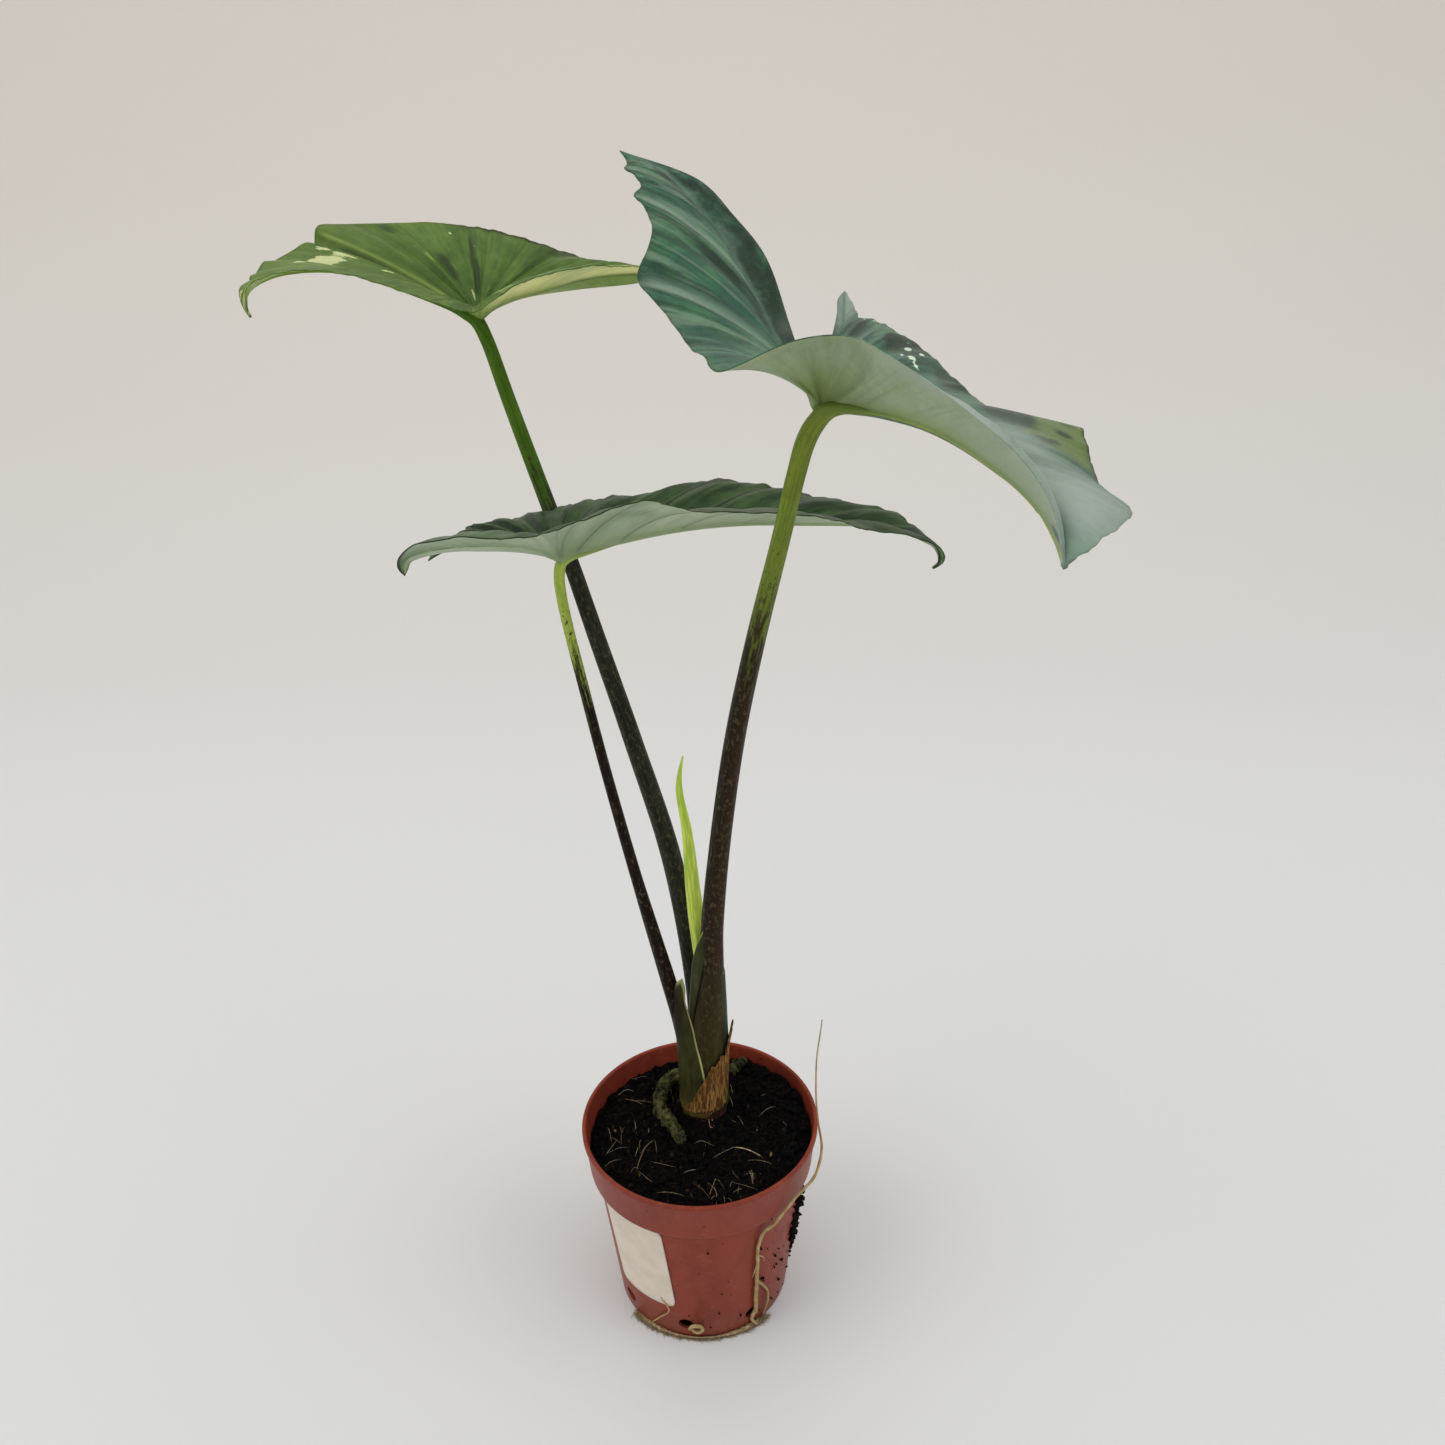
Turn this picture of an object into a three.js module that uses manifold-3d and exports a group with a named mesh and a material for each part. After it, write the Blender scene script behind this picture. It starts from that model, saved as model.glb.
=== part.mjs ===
// Potted variegated simpo alocasia: arrow-shaped leaves on long leaf stalks, in a brick-red nursery pot.
// Millimetres, +Z up. The origin is the middle of the pot's foot, and the plant leans towards -Y.

import * as THREE from 'three';
import { mergeVertices } from 'three/addons/utils/BufferGeometryUtils.js';
import Module from 'manifold-3d';

const wasm = await Module();
wasm.setup();

// Clearance between two pieces that touch
const GAP = 0.3;

// Room kept round a blade where its stalk meets it
const BLADE_ROOM = 0.6;
const BLADE_COVER = 2.5;

// Pot
const POT_HEIGHT = 110;
const RIM_RADIUS = 60;
const COLLAR_HEIGHT = 24;
const COLLAR_FOOT_RADIUS = 57;
const WALL_TOP_RADIUS = 54;
const FOOT_RADIUS = 44.5;
const WALL = 1.6;
const FLOOR = 2.4;
const DRAIN_HOLES = 8;
const DRAIN_RADIUS = 4;
const DRAIN_HEIGHT = 11;
const DRAIN_TURN = 0.75;
const DRAIN_SIDES = 12;
const POT_SIDES = 64;

// Potting soil
const SOIL_TOP = 101;
const SOIL_LUMP = 2.2;
const SOIL_RINGS = 7;
const SOIL_SIDES = 36;

// Name sticker on the pot wall, angles in degrees about the pot's axis
const LABEL_FROM = -109;
const LABEL_TO = -151;
const LABEL_SLANT = 4.5;
const LABEL_LOW = 25;
const LABEL_HIGH = 84;
const LABEL_CORNER = 4;
const LABEL_THICKNESS = 0.6;
const LABEL_COLUMNS = 12;

// Leaf blades
const BLADE_HALF_THICKNESS = 0.4;
const MIDRIB_DEPTH = 1.6;
const LOBE_RIB_DEPTH = 1;
const VEIN_DEPTH = 0.5;
const VEIN_FADE_LENGTH = 25;
const QUILT_HEIGHT = 1.1;
const ARCH_LENGTH = 50;
const SCALLOP_DEPTH = 1.6;
const ROWS_PER_VEIN = 3;
const ACROSS = [0, 0.07, 0.3, 0.62, 1];

// Where each side vein leaves the ribs: 1 is the leaf tip, 0 the stalk, -1 the tip of a rear lobe
const VEIN_ROOTS = [1, 0.86, 0.7, 0.54, 0.38, 0.2, 0, 0, 0, -0.25, -0.5, -0.62, -0.75, -0.88, -1];

// Each leaf's points are [across, along, up] from the stalk: along the heading, across to its right
const FRONT_LEAF = {
  stalk: [48, -88, 501],
  heading: 160,
  camber: 4,
  spine: [[0, 0, 0], [-4, 35, 6], [-7, 62, 8], [-6, 92, 8], [0, 127, 8], [9, 152, 8], [16, 167, 8]],
  right: {
    rib: [[0, 0, 0], [5, -18, 13], [6, -49, 30], [7, -70, 41], [11, -90, 52], [17, -108, 61], [27, -126, 67]],
    edge: [[16, 167, 8], [13, 155, 18], [12, 140, 24], [11, 120, 27], [10, 98, 29], [13, 73, 33],
      [11, 42, 32], [27, 38, 31], [38, 32, 25], [44, 3, 25], [45, -46, 35], [36, -60, 48], [34, -84, 58],
      [31, -106, 64], [27, -126, 67]],
    inner: [[0, -6, 0], [-4, -36, 18], [-8, -68, 37], [3, -102, 59], [27, -126, 67]],
  },
  left: {
    rib: [[0, 0, 0], [-13, -24, 1], [-29, -52, 4], [-44, -79, 8], [-55, -102, 14]],
    edge: [[16, 167, 8], [10.5, 167, 11], [3, 163, 12], [-12, 148.5, 8.5], [-27, 131, 4], [-34, 115, 1],
      [-39, 100, -1], [-45.5, 87, -1], [-52, 75, 0], [-59, 62, 1], [-65.5, 50, 0.5], [-64, 40, -3],
      [-62, 30, -6.5], [-62, 19.5, -7], [-62, 8, -6], [-63, -6.5, -5], [-64, -22, -4], [-64.5, -36, -2],
      [-64, -49, 1], [-61.5, -62, 4], [-59, -73, 6], [-57, -78, 7], [-56, -81, 7], [-55, -84, 6.5],
      [-55, -87, 6], [-55.5, -91, 7], [-56, -95, 9], [-55.5, -98.5, 11.5], [-55, -102, 14]],
    inner: [[0, -6, 0], [-14, -29, 3], [-29, -57, 6], [-46, -85, 10], [-55, -102, 14]],
  },
};

const TALL_LEAF = {
  stalk: [-83, 47, 504],
  heading: -103,
  camber: 2.5,
  spine: [[0, 0, 0], [0, 10, 5], [-1, 29, 13], [-3, 48, 20], [-6, 67, 22], [-9, 78, 21], [-12, 85, 16],
    [-16, 88, 9]],
  right: {
    rib: [[0, 0, 0], [6, -6, 5], [12, -15, 8], [18, -27, 10], [25, -46, 11], [31, -67, 9], [33, -86, 4]],
    edge: [[-16, 88, 9], [0, 87, 20], [13, 72, 22], [26, 58, 32], [35, 42, 32], [38, 24, 31],
      [37, 6, 30], [38, -11, 27], [38, -27, 22], [45, -43, 15], [47, -59, 9.5], [44, -68, 8.5], [41, -76, 7],
      [38, -82, 6], [33, -86, 4]],
    inner: [[0, -5, 1], [5, -21, 8], [17, -46, 11], [26, -68, 8], [33, -86, 4]],
  },
  left: {
    rib: [[0, 0, 0], [-5, -5, 3], [-9, -11, 7], [-16, -25, 11], [-22, -41, 16], [-28, -60, 18],
      [-32, -75, 17]],
    edge: [[-16, 88, 9], [-19, 87, 18], [-22, 79, 23], [-30, 65, 26], [-37, 48, 25], [-41, 32, 20],
      [-42, 16, 15], [-43, 1, 15], [-42, -13, 19], [-47, -24, 23], [-48, -41, 25], [-46, -49, 24],
      [-43, -58, 23], [-38, -67, 21], [-32, -75, 17]],
    inner: [[0, -5, 1], [-4, -18, 6], [-13, -39, 10], [-23, -62, 13], [-32, -75, 17]],
  },
};

const LOW_LEAF = {
  stalk: [-48, -24, 426],
  heading: 90,
  camber: 3,
  spine: [[0, 0, 0], [-3, 24, 5], [-4, 47, 9], [-4, 71, 11], [-3, 92, 11], [-1, 119, 10], [1, 133, 9],
    [4, 143, 6], [7, 148, 2], [10, 144, -4]],
  right: {
    rib: [[0, 0, 0], [8, -11, 7], [13, -23, 10], [18, -37, 11], [21, -48, 10], [26, -57, 5]],
    edge: [[10, 144, -4], [12, 134, 9], [18, 119, 15], [24, 103, 22], [31, 82, 27], [36, 54, 30],
      [27, 35, 31], [41, 14, 29], [45, -2, 25], [48, -17, 25], [45, -33, 24], [42, -40, 22], [38, -46, 20],
      [32, -53, 15], [26, -57, 5]],
    inner: [[0, -5, 0], [2, -20, 3], [8, -36, 5], [16, -47, 6], [26, -57, 5]],
  },
  left: {
    rib: [[0, 0, 0], [-13, -11, 0], [-21, -27, -1], [-26, -41, -3], [-27, -52, -7], [-25, -57, -11]],
    edge: [[10, 144, -4], [-5, 140, 7], [-17, 130, 10], [-34, 106, 10], [-44, 84, 12], [-45, 60, 15],
      [-42, 38, 11], [-46, 14, 7.5], [-52, -2, 2], [-52, -25, -3], [-49, -41, -5], [-47, -46, -7],
      [-43, -51, -9], [-36, -55, -10], [-25, -57, -11]],
    inner: [[0, -5, 0], [-8, -19, 1], [-14, -35, -1], [-20, -48, -5], [-25, -57, -11]],
  },
};

// Stems: points along the middle line, radii at even steps along it
const STALK_SIDES = 12;
const THIN_SIDES = 9;
const FRONT_STALK = {
  steps: 30,
  sides: STALK_SIDES,
  path: [[4.5, 15, 90], [4.5, 15, 114], [5, 14, 150], [7, 11, 196], [8, 9, 221], [12.2, 1, 272],
    [19.5, -14, 337], [28, -34, 393], [36.4, -61, 445], [40.8, -76, 474], [43.6, -83, 488],
    [47.5, -87.5, 499.5]],
  radii: [8.2, 8.8, 7.6, 5.6, 4.9, 4.7, 4.45, 4.15, 3.85, 3.5, 3.15, 3.3],
};
const TALL_STALK = {
  steps: 24,
  sides: STALK_SIDES,
  path: [[0, 26, 88], [0, 26, 139], [-1, 28, 173], [-10.8, 32, 246], [-27.5, 36, 311], [-41.4, 39, 361],
    [-51.7, 42, 398], [-60.2, 44, 425], [-73, 45, 469], [-82.8, 46.5, 502.5]],
  radii: [5.3, 5.3, 5.1, 4.75, 4.2, 3.7, 3.1, 2.75],
};
const LOW_STALK = {
  steps: 24,
  sides: STALK_SIDES,
  path: [[-5, 13, 87], [-5, 13, 113], [-5.5, 13.5, 138], [-9.2, 14, 164], [-14, 14, 187], [-26.5, 8, 251],
    [-37.4, 0, 315], [-43.6, -8, 359], [-47.5, -15, 390], [-49, -20, 408], [-48.4, -23.5, 424.5]],
  radii: [5.2, 5.3, 3.8, 2.8, 2.4, 2.27, 2.15, 2.3],
};
// Edges of the leaf base that clasps the young leaf, as two ridges up the front stalk
const SHEATH_TOP = 0.3;
const SHEATH_FADE = 0.06;
const SHEATH_RIDGE = 1.6;
const SHEATH_RIDGE_WIDTH = 0.3;
const SHEATH_EDGES = [30, 150];

const NEW_LEAF = {
  steps: 14,
  sides: THIN_SIDES,
  path: [[3, 20, 186], [1, 19, 214], [-1, 19, 240], [-3, 19, 272], [-6, 19, 294], [-4, 19, 311]],
  radii: [2.6, 2.8, 2.6, 2.3, 1.7, 0.5],
};

const MOSSY_ROOT = {
  steps: 18,
  sides: THIN_SIDES,
  path: [[-14, 40, 96], [-15, 38, 104], [-19, 33, 104], [-23, 22, 102.5], [-21, 12, 101.5], [-15, 4, 101.5],
    [-9, -4, 99], [-7, -6, 94]],
  radii: [3, 3.3, 3.4, 3.4, 3.4, 3.2, 2.8, 2.2],
};
const MOSSY_NUB = {
  steps: 8,
  sides: THIN_SIDES,
  path: [[17, 43, 94], [18, 44, 103], [21, 45, 106], [25, 46, 107]],
  radii: [2.6, 2.8, 2.6, 1.6],
};
// Root that climbs the pot: [angle in degrees, height, distance off the wall]
const FINE_STEPS = 44;
const FINE_SIDES = 7;
const WALL_ROOM = 0.25;
const CLIMBING_ROOT = [[-55, 12, 0], [-56, 28, 0], [-57, 50, 0], [-57.5, 68, 0], [-55, 78, 0.6],
  [-51.5, 83, 3.4], [-47, 87, 0.5], [-39, 92, 1], [-27, 97, 4], [-10, 99, 3], [4, 103, 0.8], [13, 111, 1],
  [22, 125, 5], [28, 144, 12]];
const CLIMBING_ROOT_RADII = [1.3, 1.2, 1.1, 1.1, 1.1, 1, 0.9, 0.8, 0.5];

// Papery remains of an old leaf base, wrapped round the foot of the front stalk
const PAPER_RADIUS = 10;
const PAPER_THICKNESS = 0.8;
const PAPER_FROM = -118;
const PAPER_TO = 30;
const PAPER_FOOT = 97;
const PAPER_LOW_TOP = 118;
const PAPER_HIGH_TOP = 155;
const PAPER_RISE = 0.6;
const PAPER_COLUMNS = 14;
const PAPER_LEVELS = 5;
const PAPER_TEAR = 1.5;
const PAPER_PLEAT = 0.25;
const PAPER_FLARE = 1.4;
const PAPER_LEAN = 0.05;

// Felt of fine roots round the foot of the pot, angles in degrees
const MAT_FROM = -145;
const MAT_TO = -38;
const MAT_RADIUS = 1.9;
const MAT_POINTS = 30;
const MAT_RADII = [0.6, 1.7, 1.9, 1.4, 1.9, 1.6, 1.9, 1.3, 0.6];

// Colours seen in daylight
const COLOURS = {
  potClay: 0x8f4a41,
  soilBlack: 0x2a241f,
  labelWhite: 0xe9eaec,
  bladeGreen: 0x3c6a3d,
  bladeOlive: 0x6f8f3f,
  stalkOlive: 0x6d7a35,
  stalkBrown: 0x4a3f33,
  youngGreen: 0xa6c04a,
  paperBrown: 0x8b6a48,
  mossGreen: 0x6f6f38,
  rootBeige: 0xb59a72,
};

const radians = THREE.MathUtils.degToRad;
const point = (p) => new THREE.Vector3(p[0], p[1], p[2]);
const curveOf = (points) => new THREE.CatmullRomCurve3(points.map(point));

// Number read off an evenly spaced list, t from 0 to 1
function sampled(list, t) {
  const x = t * (list.length - 1);
  const i = Math.min(Math.floor(x), list.length - 2);
  return THREE.MathUtils.lerp(list[i], list[i + 1], x - i);
}

// Indexed geometry of plain positions
function indexed(points, faces) {
  const geometry = new THREE.BufferGeometry();
  const numbers = points.flatMap((p) => [p.x, p.y, p.z]);
  geometry.setAttribute('position', new THREE.Float32BufferAttribute(numbers, 3));
  geometry.setIndex(faces.flat());
  return geometry;
}

// Solid of a closed geometry
function solid(geometry) {
  const bare = geometry.clone();
  bare.deleteAttribute('normal');
  bare.deleteAttribute('uv');
  const merged = mergeVertices(bare, 1e-4);
  const vertProperties = new Float32Array(merged.attributes.position.array);
  const triVerts = new Uint32Array(merged.index.array);
  return new wasm.Manifold(new wasm.Mesh({ numProp: 3, vertProperties, triVerts }));
}

// Largest body of a solid, as a geometry
function largest(body) {
  const parts = body.decompose();
  parts.sort((a, b) => b.volume() - a.volume());
  const mesh = parts[0].getMesh();
  const geometry = new THREE.BufferGeometry();
  geometry.setAttribute('position', new THREE.Float32BufferAttribute(mesh.vertProperties, 3));
  geometry.setIndex(Array.from(mesh.triVerts));
  return geometry;
}

// Closed stem: rings round a curve, with a flat end at each side; extra widens every ring
function stem(shape, extra = 0, profile = () => 0) {
  const { steps, sides } = shape;
  const curve = curveOf(shape.path);
  const points = [];
  const faces = [];
  for (let i = 0; i <= steps; i += 1) {
    const t = i / steps;
    const centre = curve.getPointAt(t);
    const tangent = curve.getTangentAt(t);
    const side = new THREE.Vector3(0.3, 1, 0).cross(tangent).normalize();
    const front = tangent.clone().cross(side).normalize();
    for (let j = 0; j < sides; j += 1) {
      const angle = (2 * Math.PI * j) / sides;
      const radius = sampled(shape.radii, t) + extra + profile(t, angle);
      points.push(centre.clone()
        .addScaledVector(side, radius * Math.cos(angle))
        .addScaledVector(front, radius * Math.sin(angle)));
    }
  }
  for (let i = 0; i < steps; i += 1) {
    for (let j = 0; j < sides; j += 1) {
      const a = i * sides + j;
      const b = i * sides + (j + 1) % sides;
      faces.push([a, b, b + sides], [a, b + sides, a + sides]);
    }
  }
  for (let j = 1; j < sides - 1; j += 1) {
    const end = steps * sides;
    faces.push([0, j + 1, j], [end, end + j, end + j + 1]);
  }
  return indexed(points, faces);
}

// Closed sheet on both sides of an open surface, each point moved along its normal by above and below
function sheet(points, faces, above, below) {
  const slots = new Map();
  const kept = [];
  const slot = points.map((p, i) => {
    const key = [p.x, p.y, p.z].map((v) => Math.round(v * 100)).join(',');
    if (!slots.has(key)) {
      slots.set(key, kept.length);
      kept.push(i);
    }
    return slots.get(key);
  });
  const triangles = faces.map((f) => f.map((i) => slot[i]))
    .filter(([a, b, c]) => a !== b && b !== c && c !== a);
  const middle = indexed(kept.map((i) => points[i]), triangles);
  middle.computeVertexNormals();
  const count = kept.length;
  const out = [];
  for (const way of [1, -1]) {
    kept.forEach((source, i) => {
      const normal = new THREE.Vector3().fromBufferAttribute(middle.attributes.normal, i);
      const amount = way > 0 ? above[source] : -below[source];
      out.push(points[source].clone().addScaledVector(normal, amount));
    });
  }
  const closed = [];
  const open = new Map();
  for (const [a, b, c] of triangles) {
    closed.push([a, b, c], [a + count, c + count, b + count]);
    for (const [from, to] of [[a, b], [b, c], [c, a]]) {
      const back = `${to},${from}`;
      if (open.has(back)) open.delete(back);
      else open.set(`${from},${to}`, [from, to]);
    }
  }
  for (const [from, to] of open.values()) {
    closed.push([from, from + count, to], [to, from + count, to + count]);
  }
  return indexed(out, closed);
}

// Outer radius of the pot at a height
function potRadius(z) {
  const collarFoot = POT_HEIGHT - COLLAR_HEIGHT;
  if (z < collarFoot) return THREE.MathUtils.lerp(FOOT_RADIUS, WALL_TOP_RADIUS, z / collarFoot);
  const up = Math.min((z - collarFoot) / COLLAR_HEIGHT, 1);
  return THREE.MathUtils.lerp(COLLAR_FOOT_RADIUS, RIM_RADIUS, up);
}

// Pot: thin-walled cone with a stepped collar and a rolled lip
function potGeometry() {
  const collarFoot = POT_HEIGHT - COLLAR_HEIGHT;
  const profile = [
    [0, 0],
    [FOOT_RADIUS - 1, 0],
    [FOOT_RADIUS, 1],
    [WALL_TOP_RADIUS, collarFoot],
    [COLLAR_FOOT_RADIUS, collarFoot],
    [COLLAR_FOOT_RADIUS + 0.3, collarFoot + 1.5],
    [RIM_RADIUS - 1.1, POT_HEIGHT - 4],
    [RIM_RADIUS - 0.2, POT_HEIGHT - 3.4],
    [RIM_RADIUS, POT_HEIGHT - 0.8],
    [RIM_RADIUS - 0.8, POT_HEIGHT],
    [RIM_RADIUS - 2, POT_HEIGHT - 0.6],
    [COLLAR_FOOT_RADIUS - WALL, collarFoot + 1],
    [WALL_TOP_RADIUS - WALL, collarFoot - 1.5],
    [FOOT_RADIUS - WALL, FLOOR],
    [0, FLOOR],
  ];
  const lathe = new THREE.LatheGeometry(profile.map((p) => new THREE.Vector2(p[0], p[1])), POT_SIDES);
  lathe.rotateX(Math.PI / 2);
  let body = solid(lathe);
  for (let i = 0; i < DRAIN_HOLES; i += 1) {
    const angle = (2 * Math.PI * (i + DRAIN_TURN)) / DRAIN_HOLES;
    const hole = new THREE.CylinderGeometry(DRAIN_RADIUS, DRAIN_RADIUS, 3 * DRAIN_RADIUS, DRAIN_SIDES);
    hole.rotateZ(Math.PI / 2);
    hole.translate(FOOT_RADIUS, 0, DRAIN_HEIGHT);
    hole.rotateZ(angle);
    body = body.subtract(solid(hole));
  }
  return largest(body);
}

// Height of the soil's lumps at a place
function soilLump(x, y) {
  return SOIL_LUMP * (0.45 * Math.sin(x * 0.19 + 1.3) * Math.cos(y * 0.17)
    + 0.35 * Math.sin(x * 0.41 - y * 0.33) + 0.2 * Math.cos(x * 0.27 + y * 0.52 + 0.6));
}

// Soil: fills the pot to just under the rim, with a lumpy top
function soilGeometry(stems) {
  const collarFoot = POT_HEIGHT - COLLAR_HEIGHT;
  const innerFoot = FOOT_RADIUS - WALL - GAP;
  const innerTop = WALL_TOP_RADIUS - WALL - GAP;
  const edge = COLLAR_FOOT_RADIUS - WALL - GAP - 0.2;
  const profile = [[0, FLOOR + GAP], [innerFoot - 0.3, FLOOR + GAP], [innerTop - 0.2, collarFoot - 1.5],
    [edge, collarFoot + 1.5], [edge, SOIL_TOP]];
  for (let i = SOIL_RINGS - 1; i >= 0; i -= 1) profile.push([(edge * i) / SOIL_RINGS, SOIL_TOP]);
  const lathe = new THREE.LatheGeometry(profile.map((p) => new THREE.Vector2(p[0], p[1])), SOIL_SIDES);
  lathe.rotateX(Math.PI / 2);
  const place = lathe.attributes.position;
  for (let i = 0; i < place.count; i += 1) {
    if (place.getZ(i) > SOIL_TOP - 1) {
      place.setZ(i, SOIL_TOP + soilLump(place.getX(i), place.getY(i)));
    }
  }
  let body = solid(lathe);
  for (const one of stems) body = body.subtract(one);
  return largest(body);
}

// Sticker: thin plate bent round the wall, with rounded corners
function labelGeometry() {
  const points = [];
  const faces = [];
  const width = radians(Math.abs(LABEL_TO - LABEL_FROM)) * WALL_TOP_RADIUS;
  for (let i = 0; i <= LABEL_COLUMNS; i += 1) {
    const t = i / LABEL_COLUMNS;
    const fromSide = Math.min(t, 1 - t) * width;
    const lack = Math.max(LABEL_CORNER - fromSide, 0);
    const cut = LABEL_CORNER - Math.sqrt(Math.max(LABEL_CORNER ** 2 - lack ** 2, 0));
    const angle = radians(THREE.MathUtils.lerp(LABEL_TO, LABEL_FROM, t));
    for (const z of [LABEL_LOW + cut, LABEL_HIGH - cut]) {
      const slant = radians(LABEL_SLANT * (0.5 - (z - LABEL_LOW) / (LABEL_HIGH - LABEL_LOW)));
      const radius = potRadius(z) + GAP + LABEL_THICKNESS / 2 + 0.1;
      points.push(new THREE.Vector3(radius * Math.cos(angle + slant), radius * Math.sin(angle + slant), z));
    }
  }
  for (let i = 0; i < LABEL_COLUMNS; i += 1) {
    const a = 2 * i;
    faces.push([a, a + 2, a + 3], [a, a + 3, a + 1]);
  }
  const half = points.map(() => LABEL_THICKNESS / 2);
  return sheet(points, faces, half, half);
}

// Place of a leaf point in the object
function placed(leaf, p) {
  const h = radians(leaf.heading);
  return new THREE.Vector3(
    leaf.stalk[0] + p.x * Math.cos(h) + p.y * Math.sin(h),
    leaf.stalk[1] - p.x * Math.sin(h) + p.y * Math.cos(h),
    leaf.stalk[2] + p.z,
  );
}

// One half of a blade: ruled from the ribs to the edge, arched, quilted between its veins and scalloped
function halfBlade(leaf, sideName, extra, cover) {
  const half = leaf[sideName];
  const way = sideName === 'right' ? 1 : -1;
  const spine = curveOf(leaf.spine);
  const rib = curveOf(half.rib);
  const edge = new THREE.CatmullRomCurve3(half.edge.map(point), false, 'catmullrom', 0.5);
  const last = VEIN_ROOTS.length - 1;
  const rows = last * ROWS_PER_VEIN;
  const out = { points: [], faces: [], above: [], below: [] };
  const rootPoint = (where) => (where >= 0 ? spine.getPointAt(where) : rib.getPointAt(-where));
  for (let i = 0; i <= rows; i += 1) {
    const p = i / ROWS_PER_VEIN;
    const t = i / rows;
    const where = sampled(VEIN_ROOTS, t);
    const root = rootPoint(where);
    const tangent = edge.getTangent(t);
    const reach = edge.getPoint(t).sub(root);
    const length = reach.length();
    const normal = tangent.clone().cross(reach).multiplyScalar(way).normalize();
    const between = Math.sin(Math.PI * p) ** 2;
    const shrink = Math.max(length - SCALLOP_DEPTH * between, 0) / Math.max(length, 1e-6);
    for (const w of ACROSS) {
      const arch = (4 * w * (1 - w) * length) / ARCH_LENGTH;
      const lift = arch * (leaf.camber + QUILT_HEIGHT * between);
      out.points.push(root.clone().addScaledVector(reach, w * shrink).addScaledVector(normal, lift));
      const fade = Math.min(1, length / VEIN_FADE_LENGTH);
      const main = where >= 0 ? MIDRIB_DEPTH * (1 - 0.8 * where) : LOBE_RIB_DEPTH * (1 + where);
      const ridge = w === 0 ? main : 0;
      const vein = w > 0 && w < 1 ? VEIN_DEPTH * (1 - between) * fade : 0;
      out.above.push(BLADE_HALF_THICKNESS + cover);
      out.below.push(BLADE_HALF_THICKNESS + ridge + vein + extra);
    }
  }
  const wide = ACROSS.length;
  for (let i = 0; i < rows; i += 1) {
    for (let j = 0; j < wide - 1; j += 1) {
      const a = i * wide + j;
      const quad = [a, a + wide, a + wide + 1, a + 1];
      if (way < 0) quad.reverse();
      out.faces.push([quad[0], quad[1], quad[2]], [quad[0], quad[2], quad[3]]);
    }
  }
  innerStrip(half, way, rib, out, extra, cover);
  return out;
}

// Narrow strip of a rear lobe between its rib and the cleft of the leaf
function innerStrip(half, way, rib, out, extra, cover) {
  const inner = curveOf(half.inner);
  const start = out.points.length;
  const firstRow = VEIN_ROOTS.lastIndexOf(0) * ROWS_PER_VEIN;
  const rows = (VEIN_ROOTS.length - 1) * ROWS_PER_VEIN - firstRow;
  const total = (VEIN_ROOTS.length - 1) * ROWS_PER_VEIN;
  for (let i = 0; i <= rows; i += 1) {
    const q = -sampled(VEIN_ROOTS, (firstRow + i) / total);
    const from = rib.getPointAt(Math.max(q, 0));
    const to = inner.getPointAt(Math.max(q, 0));
    for (const w of [0, 1]) {
      out.points.push(from.clone().lerp(to, w * (1 + extra / 2)));
      out.above.push(BLADE_HALF_THICKNESS + cover);
      out.below.push(BLADE_HALF_THICKNESS + (w === 0 ? LOBE_RIB_DEPTH * (1 - q) : 0) + extra);
    }
  }
  for (let i = 0; i < rows; i += 1) {
    const a = start + 2 * i;
    const quad = [a, a + 1, a + 3, a + 2];
    if (way < 0) quad.reverse();
    out.faces.push([quad[0], quad[1], quad[2]], [quad[0], quad[2], quad[3]]);
  }
}

// Whole blade, both halves and both lobes
function bladeGeometry(leaf, extra = 0, cover = 0) {
  const points = [];
  const faces = [];
  const above = [];
  const below = [];
  for (const side of ['right', 'left']) {
    const part = halfBlade(leaf, side, extra, cover);
    const start = points.length;
    points.push(...part.points.map((p) => placed(leaf, p)));
    faces.push(...part.faces.map((f) => f.map((i) => i + start)));
    above.push(...part.above);
    below.push(...part.below);
  }
  return sheet(points, faces, above, below);
}

// Room that a blade takes from its stalk: the thickened blade, and the blade itself moved each way
function bladeRoom(leaf) {
  let room = solid(bladeGeometry(leaf, BLADE_ROOM, BLADE_COVER));
  for (const axis of ['x', 'y', 'z']) {
    for (const way of [-GAP, GAP]) {
      const move = new THREE.Vector3();
      move[axis] = way;
      room = room.add(solid(bladeGeometry(leaf).translate(move.x, move.y, move.z)));
    }
  }
  return room;
}

// Two ridges up the open side of the front stalk's sheath
function sheathRidges(t, angle) {
  if (t > SHEATH_TOP) return 0;
  const fade = Math.min(1, (SHEATH_TOP - t) / SHEATH_FADE);
  const near = (at) => Math.exp(-(((angle - radians(at)) / SHEATH_RIDGE_WIDTH) ** 2));
  return SHEATH_RIDGE * fade * (near(SHEATH_EDGES[0]) + near(SHEATH_EDGES[1]));
}

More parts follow.
